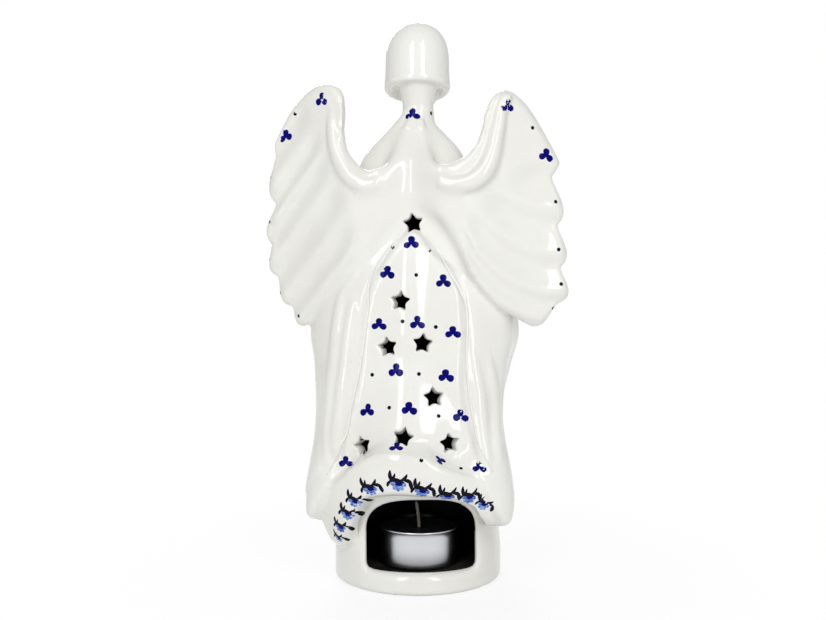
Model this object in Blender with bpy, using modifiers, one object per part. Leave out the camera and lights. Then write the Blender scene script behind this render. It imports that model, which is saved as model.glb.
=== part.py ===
"""Angel candle holder: a hollow slip-cast stoneware angel over a candle drum, with a tealight inside.

All sizes are in millimetres and become metres as each mesh is made. The origin is on the drum's axis at the
underside. The side with the candle opening, the angel's back, faces -Y, the face looks along +Y, and +Z is up.
Angles on the figure are in degrees from the back centreline, positive towards +X.
"""

import math

import bmesh
import bpy
import numpy as np
from mathutils import Matrix, Vector

MM = 0.001

# Whole figure. The tables below are drawn for these two sizes.
DRAWN_HEIGHT = 251.5
DRAWN_SPAN = 137.0
FIGURE_HEIGHT = 251.5
WING_SPAN = 137.0
STRETCH_FROM = 60.0
# The slab that trims the foot level, and the steps of the robe's grid around and up
GROUND_WIDTH = 300.0
GROUND_DEPTH = 30.0
TUBE_AROUND = 260
TUBE_UP = 250

# Casting and drum
WALL = 4.5
CAST_VOXEL = 1.0
CAST_FACES = 6200
DRUM_RADIUS = 38.0
DRUM_WAIST = 1.8
DRUM_EDGE_ROUND = 2.2
FLOOR_THICKNESS = 5.0
FOOT_RECESS = 4.0
FOOT_RING = 7.0

# Candle opening in the drum, turned a little from the back centreline
OPENING_TURN = 10.8
OPENING_WIDTH = 46.0
SILL_HEIGHT = 11.0
OPENING_HEIGHT = 33.0
OPENING_SQUARENESS = 2.7
SILL_SQUARENESS = 9.0

# Robe, cloak and hem
HEM_REACH = 48.5
HEM_LIP = 3.5
HEM_BULGE = 1.5
CREASE_WIDTH = 1.3
PANEL_RECESS = 3.3
CORNER_ANGLE = 58.0
CORNER_SPREAD = 16.0
FOLD_DEPTH = 1.7
FOLD_PITCH = 26.0
FOLD_RIDGE = 45.0
FOLDS_FULL = 70.0
FOLDS_END = 160.0
SIDE_LEAN = 1.9
LEAN_FROM = 24.0
LEAN_FULL = 40.0
LEAN_FADES = 204.0
LEAN_ENDS = 212.0
HEM_BACK_ANGLE = 30.0
HEM_SIDE_ANGLE = 62.0

# Head
HEAD_BASE = 219.5
HEAD_RADIUS = 14.8
HEAD_LENGTH = 32.8
HEAD_BOW = 16.5
HEAD_FORWARD = 1.5
HEAD_SIDE = -0.8
HOLLOW_BELOW_HEAD = 15.5

# Wings
WING_THICKNESS = 8.0
WING_EDGE_ROUND = 4.5
GROOVE_DEPTH = 2.1
RIDGE_RADIUS = 4.3

# Stars pierced through the wall
STAR_SPAN = 10.0
STAR_WAIST = 4.4

# Tealight
CUP_DIAMETER = 38.0
CUP_HEIGHT = 17.0
CUP_WALL = 0.6
CUP_RIM = 0.9
CUP_TO_WALL = 2.5
WAX_BELOW_RIM = 2.2
WICK_DIAMETER = 1.6
WICK_ABOVE_RIM = 9.5
WICK_LEAN = 1.2
CLIP_DIAMETER = 12.0
CLIP_PLATE = 0.5
CLIP_COLLAR_HEIGHT = 4.0
CLIP_COLLAR_WALL = 0.5
SEAT_GAP = 0.3

FLOOR = FOOT_RECESS + FLOOR_THICKNESS
CHAMBER_RADIUS = DRUM_RADIUS - WALL
STRETCH = (FIGURE_HEIGHT - STRETCH_FROM) / (DRAWN_HEIGHT - STRETCH_FROM)

# Height, half width, depth behind the axis and depth in front of it
CORE = (
    (-6.0, 38.5, 40.0, 42.0),
    (30.0, 38.5, 40.0, 42.0),
    (52.0, 37.7, 41.0, 41.0),
    (62.0, 37.9, 41.5, 39.5),
    (71.0, 38.8, 40.5, 38.0),
    (82.0, 40.6, 37.0, 36.5),
    (98.0, 44.4, 33.0, 34.0),
    (112.0, 47.8, 31.0, 32.5),
    (125.0, 46.5, 29.5, 31.0),
    (140.0, 40.0, 27.5, 29.0),
    (157.0, 34.5, 24.5, 26.5),
    (170.0, 30.0, 21.5, 23.5),
    (180.0, 26.8, 18.5, 20.5),
    (187.5, 24.0, 16.5, 18.0),
    (194.4, 19.9, 14.0, 15.0),
    (201.6, 13.1, 10.5, 11.0),
    (205.2, 9.7, 8.7, 8.7),
    (208.8, 7.8, 7.5, 7.5),
    (212.5, 6.8, 6.8, 6.8),
    (217.0, 7.6, 7.6, 7.6),
    (224.0, 9.5, 9.5, 9.5),
)

# How far the cloak's back corners stand out of the core, by height
CORNER = (
    (-6.0, 13.0), (30.0, 13.5), (41.0, 12.5), (52.0, 10.5), (71.0, 8.5), (89.0, 6.0), (108.0, 2.5), (140.0, 0.0),
)

# Where the cloak's edge meets the back panel, by height, on either side
CREASE_LEFT = (
    (44.0, -57.0), (53.0, -50.0), (62.0, -44.0), (74.0, -39.0), (87.0, -36.5), (120.0, -36.0), (133.0, -33.0),
    (144.0, -24.0), (157.0, -4.0), (166.0, 5.0),
)
CREASE_RIGHT = (
    (44.0, 57.0), (54.8, 49.5), (72.0, 42.0), (88.5, 39.8), (111.7, 43.0), (129.0, 44.0), (140.0, 40.0),
    (150.0, 22.0), (157.0, 14.0), (166.0, 5.0),
)
PANEL_TOP = 166.0
PANEL_FADE = 5.0
FRONT_OPENING = 26.0
FRONT_TOP = 140.0

# Round the figure, by angle: the hem's lower edge, its ridge, and its reach from the axis at both
HEM_LOW = (
    (-180.0, 24.0), (-130.0, 22.0), (-100.0, 31.0), (-77.0, 29.0), (-66.0, 21.0), (-57.0, 17.0), (-43.0, 19.0),
    (-33.0, 28.7), (-25.6, 38.7), (-19.0, 44.6), (0.0, 46.6), (26.0, 44.6), (39.0, 40.0), (45.0, 34.0), (53.0, 30.5), (75.0, 29.0),
    (100.0, 25.0), (130.0, 20.0),
)
HEM_RIDGE = (
    (-180.0, 40.0), (-130.0, 36.0), (-100.0, 40.0), (-75.0, 40.0), (-45.0, 46.3), (-36.6, 50.5), (-25.0, 59.0),
    (-7.4, 64.6), (11.0, 63.0), (24.0, 57.6), (41.5, 53.0), (52.4, 51.6), (75.0, 45.0), (100.0, 41.0), (130.0, 36.0),
)
# Shares of HEM_REACH
HEM_FOOT_REACH = (
    (-180.0, 1.0), (-130.0, 0.94), (-100.0, 0.86), (-75.0, 0.83), (-57.0, 0.85), (-43.0, 0.87), (-33.0, 0.90),
    (-25.0, 0.93), (-15.0, 0.95), (10.0, 0.95), (39.0, 0.95), (53.0, 0.98), (75.0, 0.86), (100.0, 0.86), (130.0, 0.94),
)
HEM_RIDGE_REACH = (
    (-180.0, 0.93), (-130.0, 0.88), (-100.0, 0.83), (-75.0, 0.90), (-55.0, 1.02), (-37.0, 1.01), (-25.0, 0.99),
    (-7.0, 0.975), (11.0, 0.975), (25.0, 0.985), (41.0, 1.0), (55.0, 1.02), (75.0, 0.90), (100.0, 0.83), (130.0, 0.88),
)
TIP_ANGLE = 55.0
TIP_REACH = 54.5
TIP_BOTTOM = 31.0
TIP_SPREAD = 12.0
TIP_TOP = 78.0

# Wing outlines, x away from the axis and z. Each notch pair bulges out into a feather's end.
LEFT_FEATHERS = (
    (63.9, 191.5, 0.0), (63.7, 169.6, 3.6), (66.2, 151.5, 3.4), (63.2, 136.6, 3.4), (56.0, 123.4, 3.4),
    (49.5, 114.6, 2.6),
)
LEFT_TIP = (
    (29.2, 210.0), (30.4, 217.5), (35.0, 221.6), (41.5, 222.0), (48.0, 219.2), (55.0, 212.4), (60.0, 205.0),
    (64.6, 196.5),
)
LEFT_LOWER = ((39.0, 123.0), (28.6, 131.6), (19.1, 142.6), (12.9, 153.6), (4.9, 165.0), (0.0, 170.0))
LEFT_UPPER = ((0.0, 191.0), (7.6, 188.5), (13.4, 184.6), (18.8, 184.0), (23.5, 187.0), (28.0, 193.0), (29.8, 202.0))
RIGHT_FEATHERS = (
    (60.2, 181.0, 0.0), (62.8, 160.0, 3.6), (64.3, 141.6, 3.4), (63.2, 125.6, 4.6), (50.5, 116.6, 3.6),
)
RIGHT_TIP = ((32.0, 208.0), (35.0, 215.6), (41.0, 218.2), (47.5, 214.0), (52.5, 207.5), (57.5, 199.0), (64.0, 187.0))
RIGHT_LOWER = ((44.0, 120.5), (36.8, 125.6), (26.4, 138.5), (20.1, 152.0), (10.1, 165.0), (0.0, 170.0))
RIGHT_UPPER = ((0.0, 191.0), (8.0, 188.5), (14.0, 186.5), (19.0, 187.2), (25.0, 190.6), (29.4, 197.0), (31.6, 204.0))
WING_CENTRE = (40.0, 166.0)
# The wing's rear face by distance from the axis: how far behind the axis it stands
WING_BACK = (
    (0.0, 22.0), (6.0, 25.5), (14.0, 28.0), (22.0, 28.0), (35.0, 23.5), (50.0, 16.5), (60.0, 12.5), (70.0, 10.0),
)
WING_LEAN_FROM = 180.0
WING_LEAN = 0.06
# The feathers' grooves: the edge they start from, the left wing's slope and the right wing's scoop, across and up
FEATHER_EDGE = 62.5
LEFT_SLOPE = 1.15
LEFT_LIFT = 2.0
RIGHT_SCOOP = (42.5, 52.0)
# Where the grooves fade, by distance from the axis at the fade height, and how that grows with height
FADE_HEIGHT = 160.0
LEFT_FADE = (25.5, 0.45)
RIGHT_FADE = (24.0, 1.0)

# The raised rim along each wing's inner edge and up to the nape: x away from the axis, y and z
LEFT_RIM = (
    (39.0, -18.0, 216.0), (34.6, -19.0, 211.5), (34.0, -20.6, 201.0), (31.4, -22.6, 190.5), (26.0, -25.0, 181.5),
    (18.5, -26.4, 176.8), (11.5, -25.0, 179.0), (6.6, -19.6, 187.0), (3.8, -12.6, 198.0), (1.8, -7.6, 206.0),
)
RIGHT_RIM = (
    (42.0, -18.0, 216.0), (39.2, -19.2, 211.0), (37.4, -20.8, 201.0), (35.4, -22.8, 190.5), (32.6, -24.8, 183.5),
    (27.0, -26.2, 178.6), (19.5, -26.6, 177.2), (12.5, -25.2, 180.0), (7.2, -19.8, 187.0), (4.0, -12.8, 196.5),
    (1.8, -7.6, 206.0),
)

# The nape between the two rims
NAPE_PATH = ((0.0, -4.0, 208.0), (0.0, -8.0, 199.0), (0.0, -13.5, 190.0), (0.0, -18.0, 181.0), (0.0, -20.0, 172.0))
NAPE_RADII = (2.5, 4.0, 5.5, 6.5, 5.0)

# Sleeves folded to praying hands, on the side away from the opening
SLEEVE_PATH = (
    (14.0, 2.0, 184.0), (24.0, 8.0, 173.0), (26.0, 17.0, 158.0), (19.0, 26.0, 147.0), (9.0, 31.0, 146.0),
    (4.0, 33.0, 150.0),
)
SLEEVE_RADII = (5.0, 8.0, 9.5, 10.0, 9.5, 6.0)
HANDS_PATH = ((2.2, 33.0, 148.0), (2.0, 36.0, 158.0), (1.2, 37.0, 168.0))
HANDS_RADII = (3.6, 3.4, 1.8)

# Stars by angle and height, with the turn of each
STARS = (
    (6.5, 161.3, 8.0), (-7.6, 127.0, -4.0), (-17.5, 105.5, 10.0), (13.8, 107.2, -6.0), (19.8, 85.0, 4.0),
    (-29.5, 67.5, 20.0), (0.2, 70.0, -12.0), (29.0, 67.5, 6.0),
)


def through(stations, at, period=None):
    """A smooth curve through the stations' values, without overshoot."""
    x = np.array([s[0] for s in stations], float)
    y = np.array([s[1] for s in stations], float)
    at = np.asarray(at, float)
    if period:
        x = np.concatenate([x - period, x, x + period])
        y = np.concatenate([y, y, y])
        at = (at + period / 2) % period - period / 2
    step = np.diff(x)
    slope = np.diff(y) / step
    inner = np.where(slope[:-1] * slope[1:] > 0, 2 * slope[:-1] * slope[1:] / (slope[:-1] + slope[1:] + 1e-12), 0.0)
    tangent = np.concatenate([[slope[0]], inner, [slope[-1]]])
    at = np.clip(at, x[0], x[-1])
    i = np.clip(np.searchsorted(x, at, side="right") - 1, 0, len(step) - 1)
    t = (at - x[i]) / step[i]
    return (
        (2 * t**3 - 3 * t**2 + 1) * y[i]
        + (t**3 - 2 * t**2 + t) * step[i] * tangent[i]
        + (3 * t**2 - 2 * t**3) * y[i + 1]
        + (t**3 - t**2) * step[i] * tangent[i + 1]
    )


def ease(low, high, x):
    t = np.clip((x - low) / (high - low), 0.0, 1.0)
    return t * t * (3 - 2 * t)


def drum_radius(z):
    waist = DRUM_WAIST * ease(12.0, 32.0, z)
    edge = np.clip(1 - z / DRUM_EDGE_ROUND, 0.0, 1.0)
    return DRUM_RADIUS - waist - DRUM_EDGE_ROUND * (1 - np.sqrt(1 - edge**2))


def core_radius(angle, z):
    """The robe and cloak above the hem, as an oval section with the cloak's corners standing out at the back."""
    width = through([(s[0], s[1]) for s in CORE], z)
    behind = through([(s[0], s[2]) for s in CORE], z)
    front = through([(s[0], s[3]) for s in CORE], z)
    turn = np.radians(angle)
    depth = np.where(np.cos(turn) > 0, behind, front)
    power = 2.15
    oval = (np.abs(np.sin(turn) / width) ** power + np.abs(np.cos(turn) / depth) ** power) ** (-1 / power)
    corner = through(CORNER, z) * np.exp(-(((np.abs(angle) - CORNER_ANGLE) / CORNER_SPREAD) ** 2))
    return oval + corner - SIDE_LEAN * np.sin(turn) * ease(LEAN_FROM, LEAN_FULL, z) * ease(LEAN_ENDS, LEAN_FADES, z)


def panel_share(angle, z, radius):
    """1 on the back panel between the cloak's edges, 0 on the cloak, with a crease between them."""
    wide = np.degrees(CREASE_WIDTH / radius)
    left = ease(-wide / 2, wide / 2, angle - through(CREASE_LEFT, z))
    right = ease(-wide / 2, wide / 2, through(CREASE_RIGHT, z) - angle)
    return left * right * (z < PANEL_TOP)


def drawn_height(z):
    """A height on the figure as the tables draw it."""
    return np.where(z > STRETCH_FROM, STRETCH_FROM + (z - STRETCH_FROM) / STRETCH, z)


def stretched(z):
    """A height of the tables on the figure."""
    return np.where(z > STRETCH_FROM, STRETCH_FROM + (z - STRETCH_FROM) * STRETCH, z)


def figure_radius(angle, z):
    """Outer radius of the drum, hem, robe, cloak, shoulders and neck."""
    angle = (np.asarray(angle, float) + 180) % 360 - 180
    z = drawn_height(np.asarray(z, float))
    radius = core_radius(angle, z)
    panel = panel_share(angle, z, radius)
    recess = PANEL_RECESS * panel * ease(PANEL_TOP, PANEL_TOP - PANEL_FADE, z)
    behind = 180 - np.abs(angle)
    front = ease(FRONT_OPENING + 2, FRONT_OPENING - 2, behind) * ease(FRONT_TOP, FRONT_TOP - 20, z)
    wave = 0.5 - 0.5 * np.cos(2 * np.pi * (np.abs(angle) - FOLD_RIDGE) / FOLD_PITCH)
    folds = FOLD_DEPTH * wave * ease(FOLDS_END, FOLDS_FULL, z) * (1 - panel) * (1 - front)
    radius = radius - recess - PANEL_RECESS * 0.7 * front - folds * ease(34.0, 42.0, np.abs(angle))
    low = through(HEM_LOW, angle, 360.0)
    ridge = through(HEM_RIDGE, angle, 360.0)
    share = np.clip((z - low) / (ridge - low), 0.0, 1.0)
    foot_reach = HEM_REACH * through(HEM_FOOT_REACH, angle, 360.0)
    ridge_reach = HEM_REACH * through(HEM_RIDGE_REACH, angle, 360.0)
    hem = foot_reach + (ridge_reach - foot_reach) * share + HEM_BULGE * np.sin(np.pi * share)
    side = ease(HEM_BACK_ANGLE, HEM_SIDE_ANGLE, np.abs(angle))
    fall = 7.0 + 26.0 * side
    rise = ease(ridge - 2.5, ridge + fall, z)
    body = np.where(z > low, np.maximum(radius, hem + (radius - hem) * rise), 0.0)
    body = np.where(z < ridge, np.maximum(hem, 0.0), body)
    away = np.abs(np.abs(angle) - TIP_ANGLE)
    tip_low = TIP_BOTTOM + 18.0 * (away / TIP_SPREAD) ** 1.4
    tip_in = np.exp(-((away / TIP_SPREAD) ** 2)) * ease(TIP_TOP, TIP_BOTTOM + 4, z)
    tip = body + (TIP_REACH - body) * tip_in
    tip_lip = np.sqrt(1 - (1 - np.clip((z - tip_low) / HEM_LIP, 0.0, 1.0)) ** 2)
    drum = drum_radius(z)
    lip = np.sqrt(1 - (1 - np.clip((z - low) / HEM_LIP, 0.0, 1.0)) ** 2)
    hemmed = drum + (body - drum) * lip * (z > low)
    return hemmed + np.maximum(tip - np.maximum(body, drum * (z < low)), 0.0) * tip_lip * (z > tip_low)


def mesh_object(name, bm, collection):
    mesh = bpy.data.meshes.new(name)
    bmesh.ops.recalc_face_normals(bm, faces=bm.faces)
    if bm.calc_volume(signed=True) < 0:
        bmesh.ops.reverse_faces(bm, faces=bm.faces)
    bm.to_mesh(mesh)
    bm.free()
    obj = bpy.data.objects.new(name, mesh)
    collection.objects.link(obj)
    return obj


def tube(radius_at, low, high, around, up):
    """A closed tube about the Z axis whose radius follows radius_at(angle, z)."""
    bm = bmesh.new()
    bmesh.ops.create_grid(bm, x_segments=around, y_segments=up, size=0.5)
    grid = np.array([v.co[:] for v in bm.verts])
    angle = 360 * (grid[:, 0] + 0.5)
    z = low + (high - low) * (grid[:, 1] + 0.5)
    radius = radius_at(angle, z)
    turn = np.radians(angle)
    for v, r, a, height in zip(bm.verts, radius, turn, z):
        v.co = (r * math.sin(a) * MM, -r * math.cos(a) * MM, height * MM)
    bmesh.ops.remove_doubles(bm, verts=bm.verts, dist=1e-6)
    bmesh.ops.holes_fill(bm, edges=[e for e in bm.edges if e.is_boundary])
    return bm


def spline(points, count):
    """Points evenly spread along a Catmull-Rom curve through the given ones."""
    points = np.array(points, float)
    ends = np.vstack([2 * points[0] - points[1], points, 2 * points[-1] - points[-2]])
    at = np.linspace(0, len(points) - 1 - 1e-9, count)
    i = at.astype(int)
    t = (at - i)[:, None]
    a, b, c, d = ends[i], ends[i + 1], ends[i + 2], ends[i + 3]
    return 0.5 * (2 * b + (c - a) * t + (2 * a - 5 * b + 4 * c - d) * t**2 + (3 * b - a - 3 * c + d) * t**3)


def swept(name, path, radii, sides=3):
    """A round tube along a curve, as a mesh with its caps welded on."""
    curve = bpy.data.curves.new(name, "CURVE")
    curve.dimensions = "3D"
    curve.bevel_depth = 1.0 * MM
    curve.bevel_resolution = sides
    curve.use_fill_caps = True
    line = curve.splines.new("POLY")
    line.points.add(len(path) - 1)
    for point, place, radius in zip(line.points, path, radii):
        point.co = (place[0] * MM, place[1] * MM, place[2] * MM, 1.0)
        point.radius = radius
    guide = bpy.data.objects.new(name, curve)
    bpy.context.scene.collection.objects.link(guide)
    bpy.context.view_layer.update()
    mesh = bpy.data.meshes.new_from_object(guide.evaluated_get(bpy.context.evaluated_depsgraph_get()))
    bpy.data.objects.remove(guide)
    bm = bmesh.new()
    bm.from_mesh(mesh)
    bpy.data.meshes.remove(mesh)
    bmesh.ops.remove_doubles(bm, verts=bm.verts, dist=1e-6)
    bmesh.ops.recalc_face_normals(bm, faces=bm.faces)
    return bm


def turned(profile, steps, tilt=None, place=(0.0, 0.0, 0.0)):
    """A profile of radius and height spun about Z, tilted about X and moved."""
    bm = bmesh.new()
    verts = [bm.verts.new((r * MM, 0.0, z * MM)) for r, z in profile]
    edges = [bm.edges.new(pair) for pair in zip(verts, verts[1:])]
    bmesh.ops.spin(
        bm, geom=verts + edges, cent=(0, 0, 0), axis=(0, 0, 1), angle=2 * math.pi, steps=steps, use_merge=True
    )
    bmesh.ops.remove_doubles(bm, verts=bm.verts, dist=1e-6)
    if tilt:
        bmesh.ops.rotate(bm, verts=bm.verts, cent=(0, 0, 0), matrix=Matrix.Rotation(math.radians(tilt), 3, "X"))
    bmesh.ops.translate(bm, verts=bm.verts, vec=[c * MM for c in place])
    bmesh.ops.recalc_face_normals(bm, faces=bm.faces)
    return bm


def wing_outline(tip, feathers, lower, upper):
    """The wing's edge in x and z: tip, feather ends, lower edge to the spine, and the rim back up to the tip."""
    edge = list(spline(tip, 24))
    for (x0, z0, _), (x1, z1, bulge) in zip(feathers, feathers[1:]):
        along = np.linspace(0.0, 1.0, 12, endpoint=False)
        out = np.array([z1 - z0, x0 - x1]) / math.hypot(x1 - x0, z1 - z0) * -1
        swell = bulge * np.sin(np.pi * along**1.8) ** 0.7
        edge += [(x0 + (x1 - x0) * t + out[0] * s, z0 + (z1 - z0) * t + out[1] * s) for t, s in zip(along, swell)]
    edge += list(spline(((feathers[-1][0], feathers[-1][1]),) + lower, 24))
    edge += list(spline(upper, 24))
    return np.array(edge, float)


def feather_rise(side, inboard):
    """How far a groove has risen at a distance in from the wing's edge."""
    if side < 0:
        return LEFT_SLOPE * inboard + LEFT_LIFT * (1 - np.exp(-inboard / 4.0))
    share = np.clip(inboard / RIGHT_SCOOP[0], 0.0, 0.995)
    return RIGHT_SCOOP[1] * (1 - np.sqrt(1 - share**2))


def wing(side, outline, feathers):
    """A thin rounded plate from a sphere: its rings follow the outline, and its two halves the wing's faces."""
    bm = bmesh.new()
    bmesh.ops.create_uvsphere(bm, u_segments=220, v_segments=50, radius=1.0)
    unit = np.array([v.co[:] for v in bm.verts])
    centre = np.array(WING_CENTRE)
    offset = outline - centre
    bearing = np.arctan2(offset[:, 1], offset[:, 0])
    order = np.argsort(bearing)
    bearing, reach = bearing[order], np.hypot(offset[:, 0], offset[:, 1])[order]
    turn = np.arctan2(unit[:, 1], unit[:, 0])
    out = np.interp(turn, bearing, reach, period=2 * math.pi)
    ring = np.clip(np.hypot(unit[:, 0], unit[:, 1]), 0.0, 1.0)
    x = centre[0] + ring * out * np.cos(turn)
    z = centre[1] + ring * out * np.sin(turn)
    inset = np.clip(out * (1 - ring) / WING_EDGE_ROUND, 0.0, 1.0)
    half = WING_THICKNESS / 2 * np.sqrt(1 - (1 - inset) ** 2)
    middle = WING_THICKNESS / 2 - through(WING_BACK, np.abs(x)) + WING_LEAN * np.maximum(z - WING_LEAN_FROM, 0.0)
    start = [f[1] - feather_rise(side, np.float64(FEATHER_EDGE - f[0])) for f in feathers][::-1]
    spacing = start[1] - start[0]
    start = [start[0] - spacing] + start + [start[-1] + 20.0]
    feather = np.interp(z - feather_rise(side, np.maximum(FEATHER_EDGE - x, 0.0)), start, np.arange(len(start)))
    share = 1 - feather % 1.0
    crest = 0.5 - 0.5 * np.cos(2 * np.pi * share**1.35)
    fade_at, fade_grow = LEFT_FADE if side < 0 else RIGHT_FADE
    fade_at = fade_at + fade_grow * (z - FADE_HEIGHT)
    groove = GROOVE_DEPTH * (1 - crest) * ease(fade_at - 5.0, fade_at + 8.0, x) * (feather < len(start) - 1.6)
    y = middle + np.where(unit[:, 2] < 0, -(half - groove * np.minimum(inset * 1.6, 1.0)), half)
    for v, place in zip(bm.verts, zip(side * x * WING_SPAN / DRAWN_SPAN, y, stretched(z))):
        v.co = [c * MM for c in place]
    bmesh.ops.recalc_face_normals(bm, faces=bm.faces)
    return bm


def head_base():
    return float(stretched(HEAD_BASE))


def hollow_top():
    return head_base() - HOLLOW_BELOW_HEAD


def head():
    dome = HEAD_RADIUS
    profile = [(0.0, 4.2), (7.0, 3.8), (dome - 5.0, 2.2), (dome - 3.2, 0.6), (dome - 2.0, 0.0), (dome - 0.9, 0.2)]
    profile += [(dome - 0.2, 1.1), (dome, 2.4), (dome - 0.25, 6.0), (dome - 0.45, 10.0), (dome - 0.5, HEAD_LENGTH * 0.5)]
    crown = HEAD_LENGTH - 13.0
    for step in range(1, 13):
        lift = math.radians(90 * step / 12)
        profile.append(((dome - 1.2) * math.cos(lift), crown + 13.0 * math.sin(lift)))
    profile[-1] = (0.0, HEAD_LENGTH)
    return turned(profile, 48, tilt=-HEAD_BOW, place=(HEAD_SIDE, HEAD_FORWARD, head_base()))


def face():
    """A plain oval face set under the fringe, on the far side of the head."""
    bm = bmesh.new()
    bmesh.ops.create_uvsphere(bm, u_segments=32, v_segments=20, radius=1.0)
    bow = math.radians(HEAD_BOW)
    for v in bm.verts:
        x, y, z = v.co.x * 10.2, v.co.y * 9.0, v.co.z * 14.0 - 1.0 * (v.co.z < 0) * v.co.z**2
        y, z = y * math.cos(bow) + z * math.sin(bow), z * math.cos(bow) - y * math.sin(bow)
        v.co = ((HEAD_SIDE + x) * MM, (HEAD_FORWARD + 9.5 + y) * MM, (head_base() + 6.5 + z) * MM)
    return bm


def joined(parts):
    whole = bmesh.new()
    for bm in parts:
        mesh = bpy.data.meshes.new("part")
        bm.to_mesh(mesh)
        bm.free()
        whole.from_mesh(mesh)
        bpy.data.meshes.remove(mesh)
    return whole


def cast_figure(collection):
    """Every outer form joined, melted together as one casting, and thinned to a few thousand faces."""
    parts = [tube(figure_radius, -6.0, head_base() + 3.0, int(TUBE_AROUND), int(TUBE_UP)), head(), face()]
    nape = spline([(x, y, stretched(z)) for x, y, z in NAPE_PATH], 16)
    parts.append(swept("nape", nape, np.interp(np.linspace(0, 4, 16), range(5), NAPE_RADII)))
    for side, tip, feathers, lower, upper, inner in (
        (-1, LEFT_TIP, LEFT_FEATHERS, LEFT_LOWER, LEFT_UPPER, LEFT_RIM),
        (1, RIGHT_TIP, RIGHT_FEATHERS, RIGHT_LOWER, RIGHT_UPPER, RIGHT_RIM),
    ):
        parts.append(wing(side, wing_outline(tip, feathers, lower, upper), feathers))
        rim = spline([(side * x * WING_SPAN / DRAWN_SPAN, y, stretched(z)) for x, y, z in inner], 40)
        parts.append(swept("rim", rim, np.interp(np.arange(40), (0, 30, 39), (RIDGE_RADIUS, RIDGE_RADIUS, 2.0))))
        arm = spline([(side * x, y, stretched(z)) for x, y, z in SLEEVE_PATH], 20)
        parts.append(swept("sleeve", arm, np.interp(np.linspace(0, 5, 20), range(6), SLEEVE_RADII)))
        hand = spline([(side * x, y, stretched(z)) for x, y, z in HANDS_PATH], 8)
        parts.append(swept("hand", hand, np.interp(np.linspace(0, 2, 8), range(3), HANDS_RADII)))
    figure = mesh_object("angel_body", joined(parts), collection)
    melt = figure.modifiers.new("melt", "REMESH")
    melt.mode = "VOXEL"
    melt.voxel_size = CAST_VOXEL * MM
    soften = figure.modifiers.new("soften", "SMOOTH")
    soften.factor = 0.5
    soften.iterations = 4
    bpy.context.view_layer.update()
    shaped = figure.evaluated_get(bpy.context.evaluated_depsgraph_get())
    cast = bpy.data.meshes.new_from_object(shaped)
    figure.modifiers.clear()
    figure.data = cast
    thin = figure.modifiers.new("thin", "DECIMATE")
    thin.ratio = CAST_FACES / sum(len(face.vertices) - 2 for face in cast.polygons)
    return figure


def cutter(name, bm, collection):
    obj = mesh_object(name, bm, collection)
    obj.hide_render = True
    obj.display_type = "WIRE"
    return obj


def cavity_radius(angle, z):
    """The hollow inside: the outer form taken in by the wall, at the narrowest place within reach."""
    nearest = None
    for turn in (-9.0, -4.5, 0.0, 4.5, 9.0):
        for lift in (-WALL, -WALL / 2, 0.0, WALL / 2, WALL):
            here = figure_radius(angle + turn, np.maximum(z + lift, FLOOR))
            nearest = here if nearest is None else np.minimum(nearest, here)
    return np.maximum(nearest - WALL, 0.6)


def opening_cutter():
    """A bar with the opening's arched outline, laid along the opening's direction."""
    bm = bmesh.new()
    bmesh.ops.create_cone(bm, cap_ends=True, segments=56, radius1=1.0, radius2=1.0, depth=1.0)
    middle = SILL_HEIGHT + OPENING_HEIGHT * 0.5
    inner = CHAMBER_RADIUS * 0.4
    outer = HEM_REACH + 12.0
    turn = math.radians(OPENING_TURN)
    for v in bm.verts:
        lean = math.atan2(v.co.y, v.co.x)
        c, s = math.cos(lean), math.sin(lean)
        power = OPENING_SQUARENESS if s > 0 else SILL_SQUARENESS
        size = (abs(c) ** power + abs(s) ** power) ** (-1 / power)
        across = OPENING_WIDTH / 2 * c * size
        up = middle + OPENING_HEIGHT / 2 * s * size
        along = inner if v.co.z < 0 else outer
        x = across * math.cos(turn) + along * math.sin(turn)
        y = across * math.sin(turn) - along * math.cos(turn)
        v.co = (x * MM, y * MM, up * MM)
    return bm


def star_cutter(angle, z, spin):
    """A five-pointed prism square to the wall at the star's place."""
    z = float(stretched(z))
    step = 0.8
    turn = math.radians(angle)
    around = math.radians(step)
    radius = float(figure_radius(angle, z))
    point = Vector((radius * math.sin(turn), -radius * math.cos(turn), z))
    side, up = (
        Vector((r * math.sin(turn + a), -r * math.cos(turn + a), z + lift))
        for r, a, lift in (
            (float(figure_radius(angle + step, z)), around, 0.0),
            (float(figure_radius(angle, z + step)), 0.0, step),
        )
    )
    across = (side - point).normalized()
    normal = across.cross(up - point).normalized()
    rise = normal.cross(across)
    bm = bmesh.new()
    bmesh.ops.create_cone(bm, cap_ends=True, segments=10, radius1=1.0, radius2=1.0, depth=1.0)
    for v in bm.verts:
        lean = math.atan2(v.co.y, v.co.x)
        spoke = math.floor(lean / math.radians(36)) % 2
        size = STAR_WAIST / 2 if spoke else STAR_SPAN / 2
        lean += math.radians(90 + spin)
        reach = 10.0 if v.co.z > 0 else -WALL - 5.0
        place = point + across * math.cos(lean) * size + rise * math.sin(lean) * size + normal * reach
        v.co = place * MM
    return bm


def slab(size, centre):
    bm = bmesh.new()
    bmesh.ops.create_cube(bm, size=1.0)
    bmesh.ops.scale(bm, verts=bm.verts, vec=[s * MM for s in size])
    bmesh.ops.translate(bm, verts=bm.verts, vec=[c * MM for c in centre])
    return bm


def round_slab(radius, low, high):
    bm = bmesh.new()
    bmesh.ops.create_cone(
        bm, cap_ends=True, segments=64, radius1=radius * MM, radius2=radius * MM, depth=(high - low) * MM
    )
    bmesh.ops.translate(bm, verts=bm.verts, vec=(0, 0, (low + high) / 2 * MM))
    return bm


def pierce(figure, cutters):
    for tool in cutters:
        cut = figure.modifiers.new(tool.name, "BOOLEAN")
        cut.operation = "DIFFERENCE"
        cut.solver = "EXACT"
        cut.object = tool


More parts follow.
